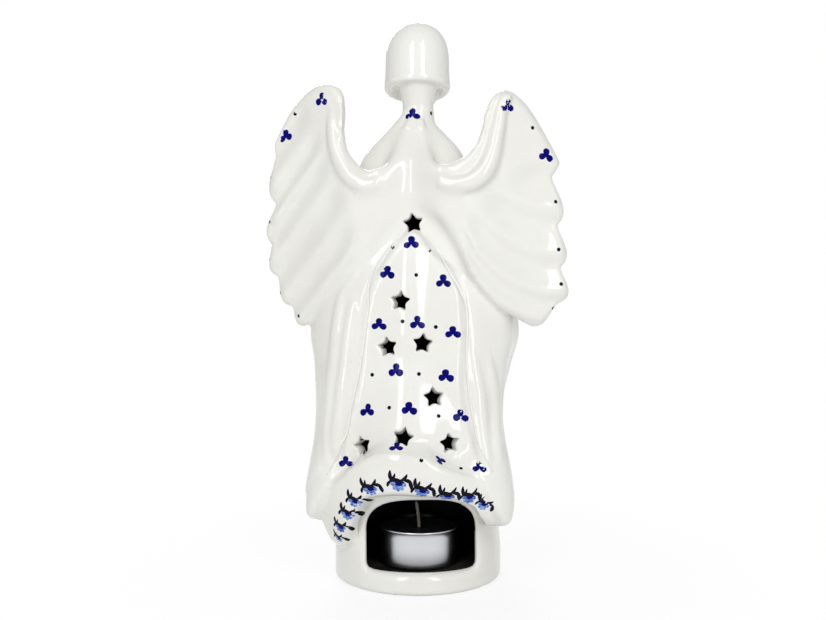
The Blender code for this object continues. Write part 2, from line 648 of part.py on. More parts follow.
def material(name, colour, roughness, metallic=0.0):
    made = bpy.data.materials.new(name)
    made.use_nodes = True
    shader = made.node_tree.nodes["Principled BSDF"]
    shader.inputs["Base Color"].default_value = (*colour, 1.0)
    shader.inputs["Roughness"].default_value = roughness
    shader.inputs["Metallic"].default_value = metallic
    return made


def turned_piece(name, profile, steps, place, collection):
    """A node turned from a closed profile with a Screw, from its outer top down and round."""
    mesh = bpy.data.meshes.new(name)
    points = [(r * MM, 0.0, z * MM) for r, z in profile]
    closed = profile[0][0] > 0
    edges = [(i, i + 1) for i in range(len(points) - 1)] + ([(len(points) - 1, 0)] if closed else [])
    mesh.from_pydata(points, edges, [])
    obj = bpy.data.objects.new(name, mesh)
    collection.objects.link(obj)
    screw = obj.modifiers.new("turn", "SCREW")
    screw.steps = steps
    screw.render_steps = steps
    screw.use_merge_vertices = True
    screw.merge_threshold = 1e-5
    obj.location = [c * MM for c in place]
    return obj


def tealight(collection):
    """An aluminium cup with its wax, the clip at the bottom of the wax and the wick that stands in it."""
    turn = math.radians(OPENING_TURN)
    behind = CHAMBER_RADIUS - CUP_DIAMETER / 2 - CUP_TO_WALL
    place = (behind * math.sin(turn), -behind * math.cos(turn), FLOOR + SEAT_GAP)
    outer = CUP_DIAMETER / 2
    body = outer - CUP_RIM
    inner = body - CUP_WALL
    cup = turned_piece(
        "tealight_cup",
        [
            (outer, CUP_HEIGHT), (outer, CUP_HEIGHT - CUP_RIM), (body, CUP_HEIGHT - CUP_RIM), (body - 0.2, 1.2),
            (body - 1.2, 0.0), (0.0, 0.0), (0.0, CUP_WALL), (inner - 1.2, CUP_WALL), (inner - 0.2, CUP_WALL + 1.0),
            (inner, CUP_HEIGHT),
        ],
        36, place, collection,
    )
    wax_low = CUP_WALL + SEAT_GAP
    wax_high = CUP_HEIGHT - WAX_BELOW_RIM
    plate = CLIP_DIAMETER / 2
    collar = WICK_DIAMETER / 2 + SEAT_GAP + CLIP_COLLAR_WALL
    plate_top = wax_low + CLIP_PLATE
    collar_top = plate_top + CLIP_COLLAR_HEIGHT
    hole = WICK_DIAMETER / 2 + SEAT_GAP
    edge = inner - 0.2 - SEAT_GAP
    wax = turned_piece(
        "tealight_wax",
        [
            (edge, wax_high), (edge, wax_low + 1.6), (edge - 1.4, wax_low), (plate + SEAT_GAP, wax_low),
            (plate + SEAT_GAP, plate_top + SEAT_GAP), (collar + SEAT_GAP, plate_top + SEAT_GAP),
            (collar + SEAT_GAP, collar_top + SEAT_GAP), (hole, collar_top + SEAT_GAP), (hole, wax_high - 0.6),
            (hole + 2.2, wax_high - 0.2), (edge - 1.5, wax_high - 0.3),
        ],
        32, place, collection,
    )
    clip = turned_piece(
        "wick_clip",
        [
            (collar, collar_top), (collar, plate_top), (plate, plate_top), (plate, wax_low), (0.0, wax_low),
            (0.0, plate_top), (hole, plate_top), (hole, collar_top),
        ],
        20, place, collection,
    )
    foot = plate_top + SEAT_GAP
    tip = CUP_HEIGHT + WICK_ABOVE_RIM
    rise = spline(((0, 0, foot), (0, 0, wax_high), (-WICK_LEAN * 0.3, 0, (wax_high + tip) / 2), (-WICK_LEAN, 0, tip)), 9)
    bm = swept("wick", rise + np.array(place), [WICK_DIAMETER / 2] * 9, 2)
    wick = mesh_object("wick", bm, collection)
    return cup, wax, clip, wick


def build():
    for obj in list(bpy.data.objects):
        bpy.data.objects.remove(obj)
    scene = bpy.context.scene.collection
    parts = bpy.data.collections.new("angel_candle_holder")
    tools = bpy.data.collections.new("cutters")
    scene.children.link(parts)
    scene.children.link(tools)
    figure = cast_figure(parts)
    cuts = [
        cutter("ground_plane", slab((GROUND_WIDTH, GROUND_WIDTH, GROUND_DEPTH), (0.0, 0.0, -GROUND_DEPTH / 2)), tools),
        cutter("foot_recess", round_slab(DRUM_RADIUS - FOOT_RING, -10.0, FOOT_RECESS), tools),
        cutter("hollow", tube(cavity_radius, FLOOR, hollow_top(), 40, 30), tools),
        cutter("candle_opening", opening_cutter(), tools),
    ]
    cuts += [cutter(f"star_{i + 1}", star_cutter(*star), tools) for i, star in enumerate(STARS)]
    pierce(figure, cuts)
    figure.data.shade_smooth()
    figure.data.materials.clear()
    figure.data.materials.append(material("white_glaze", (0.80, 0.79, 0.75), 0.12))
    cup, wax, clip, wick = tealight(parts)
    cup.data.materials.append(material("aluminium", (0.78, 0.79, 0.82), 0.3, 1.0))
    wax.data.materials.append(material("paraffin", (0.82, 0.81, 0.78), 0.45))
    clip.data.materials.append(material("tinplate", (0.62, 0.62, 0.63), 0.35, 1.0))
    wick.data.materials.append(material("cotton", (0.72, 0.70, 0.66), 0.9))


build()
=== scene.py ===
"""Angel candle holder: the glazed figure with its painted motifs, the tealight, the table and the light.

Sizes are in millimetres and become metres as each mesh is made. The side with the candle opening faces
-Y, +Z is up, and the drum's axis stands at the origin. Angles on the figure are in degrees from the back
centreline, positive towards +X.
"""

import math

import bmesh
import bpy
import numpy as np
from mathutils import Matrix, Vector
from mathutils.bvhtree import BVHTree


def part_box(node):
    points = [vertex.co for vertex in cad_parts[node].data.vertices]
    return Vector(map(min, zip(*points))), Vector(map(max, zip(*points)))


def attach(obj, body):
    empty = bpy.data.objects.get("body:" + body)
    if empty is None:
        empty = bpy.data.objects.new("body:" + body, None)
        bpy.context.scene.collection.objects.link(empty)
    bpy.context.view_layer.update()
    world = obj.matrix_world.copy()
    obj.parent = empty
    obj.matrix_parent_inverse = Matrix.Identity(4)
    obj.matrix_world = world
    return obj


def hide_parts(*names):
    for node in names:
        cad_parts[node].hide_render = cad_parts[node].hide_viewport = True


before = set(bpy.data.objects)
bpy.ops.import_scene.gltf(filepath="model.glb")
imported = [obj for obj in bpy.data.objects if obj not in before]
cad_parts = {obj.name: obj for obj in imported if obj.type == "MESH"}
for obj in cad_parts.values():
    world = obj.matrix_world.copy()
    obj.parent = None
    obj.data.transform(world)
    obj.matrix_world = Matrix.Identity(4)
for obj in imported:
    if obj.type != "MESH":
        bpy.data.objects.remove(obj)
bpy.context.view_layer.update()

MM = 0.001

# Camera, from the photograph: 826 by 620 picture, eye height and distance from the drum's axis
PICTURE_WIDTH = 826
PICTURE_HEIGHT = 620
FOCAL_PIXELS = 1236.0
EYE_HEIGHT = 165.0
EYE_DISTANCE = 560.0
EYE_TURN = 9.0
EYE_PITCH = 4.45
EYE_SIDESTEP = 2.3

# Whole figure. The tables below are drawn for these two sizes.
DRAWN_HEIGHT = 251.5
DRAWN_SPAN = 137.0
FIGURE_HEIGHT = 251.5
WING_SPAN = 137.0
STRETCH_FROM = 60.0

# Casting and drum
WALL = 4.5
CAST_VOXEL = 1.16
DRUM_RADIUS = 38.0
DRUM_WAIST = 1.8
DRUM_EDGE_ROUND = 2.2
FLOOR_THICKNESS = 5.0
FOOT_RECESS = 4.0
FOOT_RING = 7.0

# Candle opening in the drum, turned a little from the back centreline
OPENING_TURN = 11.6
OPENING_WIDTH = 47.8
SILL_HEIGHT = 9.8
OPENING_HEIGHT = 31.6
OPENING_SQUARENESS = 2.6
SILL_SQUARENESS = 16.0

# Robe, cloak and hem
HEM_REACH = 48.5
HEM_LIP = 3.5
HEM_BULGE = 1.5
CREASE_WIDTH = 1.3
PANEL_RECESS = 3.3
PANEL_CROWN = 1.8
CROWN_ANGLE = -1.0
CROWN_SPREAD = 15.5
CORNER_ANGLE = 58.0
CORNER_SPREAD = 16.0
SECTION_POWER = 2.15
FOLD_DEPTH = 1.7
FOLD_PITCH = 26.0
FOLD_RIDGE = 45.0
FOLDS_END = 160.0
FOLDS_FULL = 70.0
FOLDS_FROM_ANGLE = 34.0
FOLDS_AT_ANGLE = 42.0
SIDE_LEAN = 1.9
LEAN_FROM = 24.0
LEAN_FULL = 40.0
LEAN_FADES = 204.0
LEAN_ENDS = 212.0
HEM_BACK_ANGLE = 30.0
HEM_SIDE_ANGLE = 62.0
HEM_FALL_BACK = 5.5
HEM_FALL_SIDE = 33.0
HEM_RISE_BELOW = 2.0

# Head
HEAD_BASE = 219.5
HEAD_RADIUS = 14.8
HEAD_LENGTH = 32.8
HEAD_DOME = 15.5
HEAD_BOW = 16.5
HEAD_FORWARD = 1.5
HEAD_SIDE = -0.6
HEAD_TURN = 9.0
HOLLOW_BELOW_HEAD = 15.5

# Wings
WING_THICKNESS = 8.0
WING_EDGE_ROUND = 4.5
GROOVE_DEPTH = 2.1
RIDGE_RADIUS = 4.3

# Stars pierced through the wall
STAR_SPAN = 10.0
STAR_WAIST = 4.4

# Tealight
CUP_WALL = 0.6
CUP_RIM = 0.9
WAX_BELOW_RIM = 2.2
WICK_DIAMETER = 1.6
WICK_ABOVE_RIM = 9.5
WICK_LEAN = 1.2
CLIP_PLATE = 0.5
SEAT_GAP = 0.3

FLOOR = FOOT_RECESS + FLOOR_THICKNESS
CHAMBER_RADIUS = DRUM_RADIUS - WALL
STRETCH = (FIGURE_HEIGHT - STRETCH_FROM) / (DRAWN_HEIGHT - STRETCH_FROM)

# Height, half width, depth behind the axis and depth in front of it
CORE = (
    (-6.0, 38.5, 40.0, 42.0),
    (30.0, 38.5, 40.0, 42.0),
    (52.0, 37.7, 41.0, 41.0),
    (62.0, 37.9, 41.5, 39.5),
    (71.0, 38.8, 40.5, 38.0),
    (82.0, 40.6, 37.0, 36.5),
    (98.0, 44.4, 33.0, 34.0),
    (112.0, 47.8, 31.0, 32.5),
    (125.0, 46.5, 29.5, 31.0),
    (140.0, 40.0, 27.5, 29.0),
    (157.0, 34.5, 24.5, 26.5),
    (170.0, 30.0, 21.5, 23.5),
    (180.0, 26.8, 18.5, 20.5),
    (187.5, 24.0, 16.5, 18.0),
    (194.4, 19.9, 14.0, 15.0),
    (201.6, 13.1, 10.5, 11.0),
    (205.2, 9.7, 8.7, 8.7),
    (208.8, 7.8, 7.5, 7.5),
    (212.5, 6.8, 6.8, 6.8),
    (217.0, 7.6, 7.6, 7.6),
    (224.0, 9.5, 9.5, 9.5),
)

# How far the cloak's back corners stand out of the core, by height
CORNER = (
    (-6.0, 13.0), (30.0, 13.5), (41.0, 12.5), (52.0, 10.5), (71.0, 8.5), (89.0, 6.0), (108.0, 2.5),
    (140.0, 0.0),
)

# Where the cloak's edge meets the back panel, by height, on either side
CREASE_LEFT = (
    (44.0, -57.0), (53.0, -50.0), (62.0, -44.0), (74.0, -39.0), (87.0, -36.5), (120.0, -36.0),
    (133.0, -33.0), (144.0, -24.0), (152.0, -12.0), (159.5, 3.0),
)
CREASE_RIGHT = (
    (44.0, 57.0), (54.8, 49.5), (72.0, 42.0), (88.5, 39.8), (111.7, 43.0), (129.0, 44.0), (140.0, 40.0),
    (150.0, 22.0), (155.0, 13.0), (159.5, 6.0),
)
# How much of the panel's crown there is, by height
CROWN_HEIGHTS = (
    (62.0, 0.0), (74.0, 0.8), (88.0, 1.0), (100.0, 0.6), (115.0, 1.1), (150.0, 1.0), (158.0, 0.4),
)
PANEL_TOP = 159.5
PANEL_FADE = 3.0
FRONT_OPENING = 26.0
FRONT_TOP = 140.0
FRONT_RECESS_SHARE = 0.7

# Round the figure, by angle: the hem's lower edge, its ridge, and its reach from the axis at both
HEM_LOW = (
    (-180.0, 24.0), (-130.0, 22.0), (-100.0, 31.0), (-77.0, 29.0), (-66.0, 21.0), (-57.0, 17.0),
    (-43.0, 19.0), (-33.0, 28.7), (-25.6, 37.7), (-19.0, 42.6), (0.0, 44.6), (26.0, 42.6), (39.0, 38.0),
    (45.0, 32.5), (53.0, 28.8), (75.0, 29.0), (100.0, 25.0), (130.0, 20.0),
)
HEM_RIDGE = (
    (-180.0, 40.0), (-130.0, 36.0), (-100.0, 40.0), (-75.0, 40.0), (-45.0, 46.3), (-36.6, 50.5),
    (-25.0, 59.0), (-7.4, 64.6), (11.0, 63.0), (24.0, 57.6), (41.5, 53.0), (52.4, 51.6), (75.0, 45.0),
    (100.0, 41.0), (130.0, 36.0),
)
# Shares of HEM_REACH
HEM_FOOT_REACH = (
    (-180.0, 1.0), (-130.0, 0.94), (-100.0, 0.86), (-75.0, 0.83), (-57.0, 0.85), (-43.0, 0.87),
    (-33.0, 0.90), (-25.0, 0.93), (-15.0, 0.95), (10.0, 0.95), (39.0, 0.95), (53.0, 0.98), (75.0, 0.86),
    (100.0, 0.86), (130.0, 0.94),
)
HEM_RIDGE_REACH = (
    (-180.0, 0.93), (-130.0, 0.88), (-100.0, 0.83), (-75.0, 0.90), (-55.0, 1.02), (-37.0, 1.01),
    (-25.0, 0.99), (-7.0, 0.975), (11.0, 0.975), (25.0, 0.985), (41.0, 1.0), (55.0, 1.02), (75.0, 0.90),
    (100.0, 0.83), (130.0, 0.88),
)
TIP_ANGLE = 55.0
TIP_REACH = 54.5
TIP_BOTTOM = 29.5
TIP_SPREAD = 12.0
TIP_TOP = 78.0

# Wing outlines, x away from the axis and z. Each notch pair bulges out into a feather's end.
LEFT_FEATHERS = (
    (63.9, 191.5, 0.0), (63.7, 169.6, 3.6), (66.2, 151.5, 3.4), (63.2, 136.6, 3.4), (56.0, 123.4, 3.4),
    (49.5, 114.6, 2.6),
)
LEFT_TIP = (
    (29.2, 210.0), (30.4, 217.5), (35.0, 221.6), (41.5, 222.0), (48.0, 219.2), (55.0, 212.4), (60.0, 205.0),
    (64.6, 196.5),
)
LEFT_LOWER = ((39.0, 123.0), (28.6, 131.6), (19.1, 142.6), (12.9, 153.6), (4.9, 165.0), (-5.0, 171.0))
LEFT_UPPER = (
    (-5.0, 190.5), (7.6, 188.5), (13.4, 184.6), (18.8, 184.0), (23.5, 187.0), (28.0, 193.0),
    (29.8, 202.0),
)
RIGHT_FEATHERS = (
    (60.2, 181.0, 0.0), (62.8, 160.0, 3.6), (64.3, 141.6, 3.4), (63.2, 125.6, 4.6), (50.5, 116.6, 3.6),
)
RIGHT_TIP = (
    (32.0, 208.0), (35.0, 215.6), (41.0, 218.2), (47.5, 214.0), (52.5, 207.5), (57.5, 199.0),
    (64.0, 187.0),
)
RIGHT_LOWER = ((44.0, 120.5), (36.8, 125.6), (26.4, 138.5), (20.1, 152.0), (10.1, 165.0), (-5.0, 171.0))
RIGHT_UPPER = (
    (-5.0, 190.5), (8.0, 188.5), (14.0, 186.5), (19.0, 187.2), (25.0, 190.6), (29.4, 197.0),
    (31.6, 204.0),
)
WING_CENTRE = (40.0, 166.0)
# The wing's rear face by distance from the axis: how far behind the axis it stands
WING_BACK = (
    (0.0, 22.0), (6.0, 25.5), (14.0, 28.0), (22.0, 28.0), (35.0, 23.5), (50.0, 16.5), (60.0, 12.5),
    (70.0, 10.0),
)
WING_LEAN_FROM = 180.0
WING_LEAN = 0.06
# The feathers' grooves: the edge they start from, the left wing's slope, the right wing's scoop across and up
FEATHER_EDGE = 62.5
LEFT_SLOPE = 1.15
LEFT_LIFT = 2.0
RIGHT_SCOOP = (42.5, 52.0)
# Where the grooves fade, by distance from the axis at the fade height, and how that grows with height
FADE_HEIGHT = 160.0
LEFT_FADE = (25.5, 0.45)
RIGHT_FADE = (24.0, 1.0)

# The raised rim along each wing's inner edge and up to the nape: x away from the axis, y and z
LEFT_RIM = (
    (39.0, -18.0, 216.0), (34.6, -19.0, 211.5), (34.0, -20.6, 201.0), (31.4, -22.6, 190.5),
    (26.0, -25.0, 181.5), (18.5, -26.4, 176.8), (11.5, -25.0, 179.0), (6.6, -19.6, 187.0),
    (3.8, -12.6, 198.0), (1.8, -7.6, 206.0),
)
RIGHT_RIM = (
    (42.0, -18.0, 216.0), (39.2, -19.2, 211.0), (37.4, -20.8, 201.0), (35.4, -22.8, 190.5),
    (32.6, -24.8, 183.5), (27.0, -26.2, 178.6), (19.5, -26.6, 177.2), (12.5, -25.2, 180.0),
    (7.2, -19.8, 187.0), (4.0, -12.8, 196.5), (1.8, -7.6, 206.0),
)

# The nape between the two rims
NAPE_PATH = (
    (0.0, -4.0, 208.0), (0.0, -8.0, 199.0), (0.0, -13.0, 190.0), (0.0, -15.5, 181.0),
    (0.0, -16.0, 172.0),
)
NAPE_RADII = (2.5, 4.0, 5.5, 6.5, 5.0)

# Sleeves folded to praying hands, on the side away from the opening
SLEEVE_PATH = (
    (14.0, 2.0, 184.0), (24.0, 8.0, 173.0), (26.0, 17.0, 158.0), (19.0, 26.0, 147.0), (9.0, 31.0, 146.0),
    (4.0, 33.0, 150.0),
)
SLEEVE_RADII = (5.0, 8.0, 9.5, 10.0, 9.5, 6.0)
HANDS_PATH = ((2.2, 33.0, 148.0), (2.0, 36.0, 158.0), (1.2, 37.0, 168.0))
HANDS_RADII = (3.6, 3.4, 1.8)

# Melting the forms together: smoothing passes, and how far a point may be drawn back to the exact form
SOFTEN_STEPS = 6
SNAP_NEAR = 0.25
SNAP_FAR = 0.8
SETTLE_STEPS = 1
STAR_ROUNDING = 4
STAR_FULLNESS = 1.06
NAPE_PASSES = 38
NAPE_HALF_WIDTH = 13.0
NAPE_BEHIND = 6.0
NAPE_LOW = 160.5
NAPE_HIGH = 203.0
VALLEY_PASSES = 20
VALLEY_HALF_WIDTH = 24.0
VALLEY_BEHIND = 12.0
VALLEY_LOW = 136.0
VALLEY_HIGH = 176.0
VALLEY_BESIDE = 5.0
SHARP_FROM = 0.6
# Above this height and up to the opening's top, the hollow's painted shade reaches further into the wall's
# cut faces
HOLLOW_SHADE_REACHES_OUT_ABOVE = 24.0

# Paint
PAINT_RISE = 0.05
PAINT_SINK = 0.15
DOT_SIZE = 1.75
EDGE_BEAD = 0.6
FOLD_THICK = 4.6
FOLD_PROUD = 1.0

# Colours
GLAZE_COLOUR = (0.815, 0.812, 0.775)
GLAZE_SHADE = (0.790, 0.784, 0.740)
SPECK_COLOUR = (0.42, 0.36, 0.28)
CLAY_COLOUR = (0.50, 0.46, 0.41)
# The hollow's inside: near-black painted shade, and its paler random patches
HOLLOW_SHADE_COLOUR = (0.010, 0.009, 0.009)
HOLLOW_SHADE_PALER = (0.030, 0.028, 0.025)
COBALT = (0.0, 0.0, 0.135)
COBALT_THIN = (0.003, 0.005, 0.22)
WASH = (0.060, 0.13, 0.46)
WASH_LIGHT = (0.22, 0.36, 0.70)
INK = (0.004, 0.004, 0.010)
INK_THIN = (0.020, 0.025, 0.060)

# The opening's rounded edge: how deep in the wall, and how much wider there
OPENING_EDGE = (
    (-24.0, 0.0), (-3.6, 0.0), (-2.6, 0.15), (-1.7, 0.5), (-0.9, 1.1), (-0.35, 1.9), (0.05, 2.9),
    (0.3, 3.8), (13.0, 4.0),
)

# A star's rounded edge: how deep in the wall, and how much wider there
STAR_EDGE = (
    (-WALL - 5.0, -0.25), (-1.4, -0.05), (-0.9, 0.0), (-0.5, 0.1), (-0.24, 0.26), (-0.06, 0.5), (0.1, 0.85),
    (3.0, 1.0),
)

# Light: the room's even light, and the softboxes by place and size in metres, watts, and the point faced
ROOM_LIGHT = 0.40
ROOM_SEEN_IN_GLAZE = 0.7
TABLE_NEAR = 0.84
TABLE_FAR = 1.0
SOFTBOXES = (
    ("softbox_left", (-0.27, -1.00, 0.70), (0.22, 1.15), 4.9, (0.0, 0.0, 0.12)),
    ("softbox_right", (0.57, -0.87, 0.70), (0.22, 1.15), 4.9, (0.0, 0.0, 0.12)),
    ("softbox_face_side", (-0.35, 1.05, 0.75), (0.6, 0.6), 6.0, (0.0, 0.0, 0.12)),
)

# Places in the photograph's pixels: pierced stars with their turn and size
STARS_SEEN = (
    ((413.0, 223.0), 8.0, 1.0), ((399.6, 301.0), -4.0, 1.0), ((387.0, 347.0), 10.0, 1.0),
    ((423.0, 343.5), -6.0, 1.0), ((434.0, 397.0), 4.0, 1.0), ((361.7, 446.0), 20.0, 1.0),
    ((403.0, 437.0), -12.0, 1.0), ((450.0, 443.5), 6.0, 1.0),
)

# Three-petalled flowers with their turn and size
TREFOILS_SEEN = (
    ((321.5, 100.7), 0.0, 1.0), ((285.6, 137.4), -10.0, 1.0), ((507.5, 107.6), 0.0, 1.0),
    ((546.5, 156.5), 10.0, 1.0), ((412.7, 116.0), 0.0, 1.0), ((411.0, 244.0), 0.0, 1.0),
    ((387.6, 274.0), 0.0, 1.0), ((443.4, 282.5), 0.0, 1.0), ((379.0, 326.4), 0.0, 1.0),
    ((417.5, 324.0), 0.0, 1.0), ((453.0, 334.4), 0.0, 1.0), ((395.7, 371.6), 0.0, 1.0),
    ((446.2, 377.6), 0.0, 1.0), ((367.0, 411.8), 0.0, 1.0), ((409.4, 410.2), 0.0, 1.0),
    ((460.9, 417.5), 0.0, 1.0), ((396.0, 447.6), 0.0, 0.9), ((346.0, 463.7), 0.0, 0.9),
    ((441.0, 461.2), 0.0, 0.9), ((479.5, 468.7), 0.0, 0.9),
)

DOTS_SEEN = (
    (295.0, 113.8), (269.6, 177.4), (269.6, 221.7), (269.6, 259.3), (277.4, 293.0), (298.8, 316.0),
    (532.7, 127.8), (555.7, 201.7), (558.7, 249.5), (561.2, 284.0), (556.0, 308.0), (431.2, 113.3),
    (392.7, 247.4), (430.0, 250.4), (416.3, 275.0), (402.5, 321.4), (435.8, 327.0), (372.2, 374.8),
    (418.9, 374.0), (389.2, 407.7), (438.6, 416.0), (364.0, 452.7), (421.4, 460.3), (460.9, 468.3),
)

# The hem's border flowers with their turn and size
BORDER_SEEN = (
    ((338.4, 537.0), 14.0, 0.7), ((340.4, 526.0), 12.0, 0.85), ((347.6, 513.0), 12.0, 0.95),
    ((355.0, 500.0), 8.0, 0.95), ((369.7, 487.4), -8.0, 1.0), ((398.4, 482.2), 4.0, 1.05),
    ((422.5, 489.6), 10.0, 1.0), ((447.7, 495.2), 5.0, 1.0), ((469.6, 496.0), 4.0, 0.95),
    ((484.2, 503.4), 25.0, 0.8),
)

# The crests of the cloak's folds
FOLDS_SEEN = (
    ((342.0, 286.0), (337.0, 300.0), (332.0, 340.0), (327.0, 390.0), (323.0, 440.0), (321.0, 485.0)),
    ((352.0, 296.0), (347.0, 312.0), (341.0, 360.0), (335.0, 410.0), (330.0, 450.0), (325.0, 490.0)),
    ((474.0, 335.0), (479.0, 370.0), (484.0, 410.0), (489.0, 450.0), (495.0, 490.0)),
    ((488.0, 330.0), (493.0, 370.0), (497.0, 410.0), (500.0, 450.0), (503.0, 490.0)),
)

# The crisp edges of the cloak beside the back panel
CLOAK_EDGES_SEEN = (
    (
        (407.0, 230.0), (389.0, 247.0), (375.0, 267.0), (368.0, 289.0), (368.0, 311.0), (364.0, 339.0),
        (360.0, 367.0), (354.0, 394.0), (349.0, 422.0), (339.0, 450.0), (327.0, 475.0),
    ),
    (
        (426.0, 236.0), (444.0, 261.0), (456.0, 283.0), (463.0, 297.0), (467.0, 311.0), (467.0, 339.0),
        (467.0, 367.0), (469.0, 394.0), (474.0, 422.0), (481.0, 450.0), (493.0, 472.0),
    ),
)


def through(stations, at, period=None):
    """A smooth curve through the stations' values, without overshoot."""
    x = np.array([s[0] for s in stations], float)
    y = np.array([s[1] for s in stations], float)
    at = np.asarray(at, float)
    if period:
        x = np.concatenate([x - period, x, x + period])
        y = np.concatenate([y, y, y])
        at = (at + period / 2) % period - period / 2
    step = np.diff(x)
    slope = np.diff(y) / step
    before, after = slope[:-1], slope[1:]
    inner = np.where(before * after > 0, 2 * before * after / (before + after + 1e-12), 0.0)
    tangent = np.concatenate([[slope[0]], inner, [slope[-1]]])
    at = np.clip(at, x[0], x[-1])
    i = np.clip(np.searchsorted(x, at, side="right") - 1, 0, len(step) - 1)
    t = (at - x[i]) / step[i]
    return (
        (2 * t**3 - 3 * t**2 + 1) * y[i]
        + (t**3 - 2 * t**2 + t) * step[i] * tangent[i]
        + (3 * t**2 - 2 * t**3) * y[i + 1]
        + (t**3 - t**2) * step[i] * tangent[i + 1]
    )


def ease(low, high, x):
    t = np.clip((x - low) / (high - low), 0.0, 1.0)
    return t * t * (3 - 2 * t)


def drum_radius(z):
    waist = DRUM_WAIST * ease(12.0, 32.0, z)
    edge = np.clip(1 - z / DRUM_EDGE_ROUND, 0.0, 1.0)
    return DRUM_RADIUS - waist - DRUM_EDGE_ROUND * (1 - np.sqrt(1 - edge**2))


def core_radius(angle, z):
    """The robe and cloak above the hem: an oval section with the cloak's corners standing out behind."""
    width = through([(s[0], s[1]) for s in CORE], z)
    behind = through([(s[0], s[2]) for s in CORE], z)
    front = through([(s[0], s[3]) for s in CORE], z)
    turn = np.radians(angle)
    depth = np.where(np.cos(turn) > 0, behind, front)
    across = np.abs(np.sin(turn) / width) ** SECTION_POWER
    along = np.abs(np.cos(turn) / depth) ** SECTION_POWER
    oval = (across + along) ** (-1 / SECTION_POWER)
    corner = through(CORNER, z) * np.exp(-(((np.abs(angle) - CORNER_ANGLE) / CORNER_SPREAD) ** 2))
    lean = SIDE_LEAN * np.sin(turn) * ease(LEAN_FROM, LEAN_FULL, z) * ease(LEAN_ENDS, LEAN_FADES, z)
    return oval + corner - lean


def panel_share(angle, z, radius):
    """1 on the back panel between the cloak's edges, 0 on the cloak, with a crease between them."""
    wide = np.degrees(CREASE_WIDTH / radius)
    left = ease(-wide / 2, wide / 2, angle - through(CREASE_LEFT, z))
    right = ease(-wide / 2, wide / 2, through(CREASE_RIGHT, z) - angle)
    return left * right * (z < PANEL_TOP)


def drawn_height(z):
    """A height on the figure as the tables draw it."""
    return np.where(z > STRETCH_FROM, STRETCH_FROM + (z - STRETCH_FROM) / STRETCH, z)


def stretched(z):
    """A height of the tables on the figure."""
    return np.where(z > STRETCH_FROM, STRETCH_FROM + (z - STRETCH_FROM) * STRETCH, z)


def figure_radius(angle, z):
    """Outer radius of the drum, hem, robe, cloak, shoulders and neck."""
    angle = (np.asarray(angle, float) + 180) % 360 - 180
    z = drawn_height(np.asarray(z, float))
    radius = core_radius(angle, z)
    panel = panel_share(angle, z, radius)
    recess = PANEL_RECESS * panel * ease(PANEL_TOP, PANEL_TOP - PANEL_FADE, z)
    behind = 180 - np.abs(angle)
    front = ease(FRONT_OPENING + 2, FRONT_OPENING - 2, behind) * ease(FRONT_TOP, FRONT_TOP - 20, z)
    wave = 0.5 - 0.5 * np.cos(2 * np.pi * (np.abs(angle) - FOLD_RIDGE) / FOLD_PITCH)
    folds = FOLD_DEPTH * wave * ease(FOLDS_END, FOLDS_FULL, z) * (1 - panel) * (1 - front)
    folds = folds * ease(FOLDS_FROM_ANGLE, FOLDS_AT_ANGLE, np.abs(angle))
    radius = radius - recess - PANEL_RECESS * FRONT_RECESS_SHARE * front - folds
    crown = PANEL_CROWN * through(CROWN_HEIGHTS, z) * np.exp(-(((angle - CROWN_ANGLE) / CROWN_SPREAD) ** 2))
    radius = radius + crown * panel
    low = through(HEM_LOW, angle, 360.0)
    ridge = through(HEM_RIDGE, angle, 360.0)
    share = np.clip((z - low) / (ridge - low), 0.0, 1.0)
    foot_reach = HEM_REACH * through(HEM_FOOT_REACH, angle, 360.0)
    ridge_reach = HEM_REACH * through(HEM_RIDGE_REACH, angle, 360.0)
    hem = foot_reach + (ridge_reach - foot_reach) * share + HEM_BULGE * np.sin(np.pi * share)
    side = ease(HEM_BACK_ANGLE, HEM_SIDE_ANGLE, np.abs(angle))
    fall = HEM_FALL_BACK + (HEM_FALL_SIDE - HEM_FALL_BACK) * side
    rise = ease(ridge - HEM_RISE_BELOW, ridge + fall, z)
    body = np.where(z > low, np.maximum(radius, hem + (radius - hem) * rise), 0.0)
    body = np.where(z < ridge, np.maximum(hem, 0.0), body)
    away = np.abs(np.abs(angle) - TIP_ANGLE)
    tip_low = TIP_BOTTOM + 18.0 * (away / TIP_SPREAD) ** 1.4
    tip_in = np.exp(-((away / TIP_SPREAD) ** 2)) * ease(TIP_TOP, TIP_BOTTOM + 4, z)
    tip = body + (TIP_REACH - body) * tip_in
    tip_lip = np.sqrt(1 - (1 - np.clip((z - tip_low) / HEM_LIP, 0.0, 1.0)) ** 2)
    drum = drum_radius(z)
    lip = np.sqrt(1 - (1 - np.clip((z - low) / HEM_LIP, 0.0, 1.0)) ** 2)
    hemmed = drum + (body - drum) * lip * (z > low)
    return hemmed + np.maximum(tip - np.maximum(body, drum * (z < low)), 0.0) * tip_lip * (z > tip_low)


def tube(radius_at, low, high, around, up):
    """A closed tube about the Z axis whose radius follows radius_at(angle, z)."""
    bm = bmesh.new()
    bmesh.ops.create_grid(bm, x_segments=around, y_segments=up, size=0.5)
    grid = np.array([v.co[:] for v in bm.verts])
    angle = 360 * (grid[:, 0] + 0.5)
    z = low + (high - low) * (grid[:, 1] + 0.5)
    radius = radius_at(angle, z)
    turn = np.radians(angle)
    for v, r, a, height in zip(bm.verts, radius, turn, z):
        v.co = (r * math.sin(a) * MM, -r * math.cos(a) * MM, height * MM)
    bmesh.ops.remove_doubles(bm, verts=bm.verts, dist=1e-6)
    bmesh.ops.holes_fill(bm, edges=[e for e in bm.edges if e.is_boundary])
    return bm


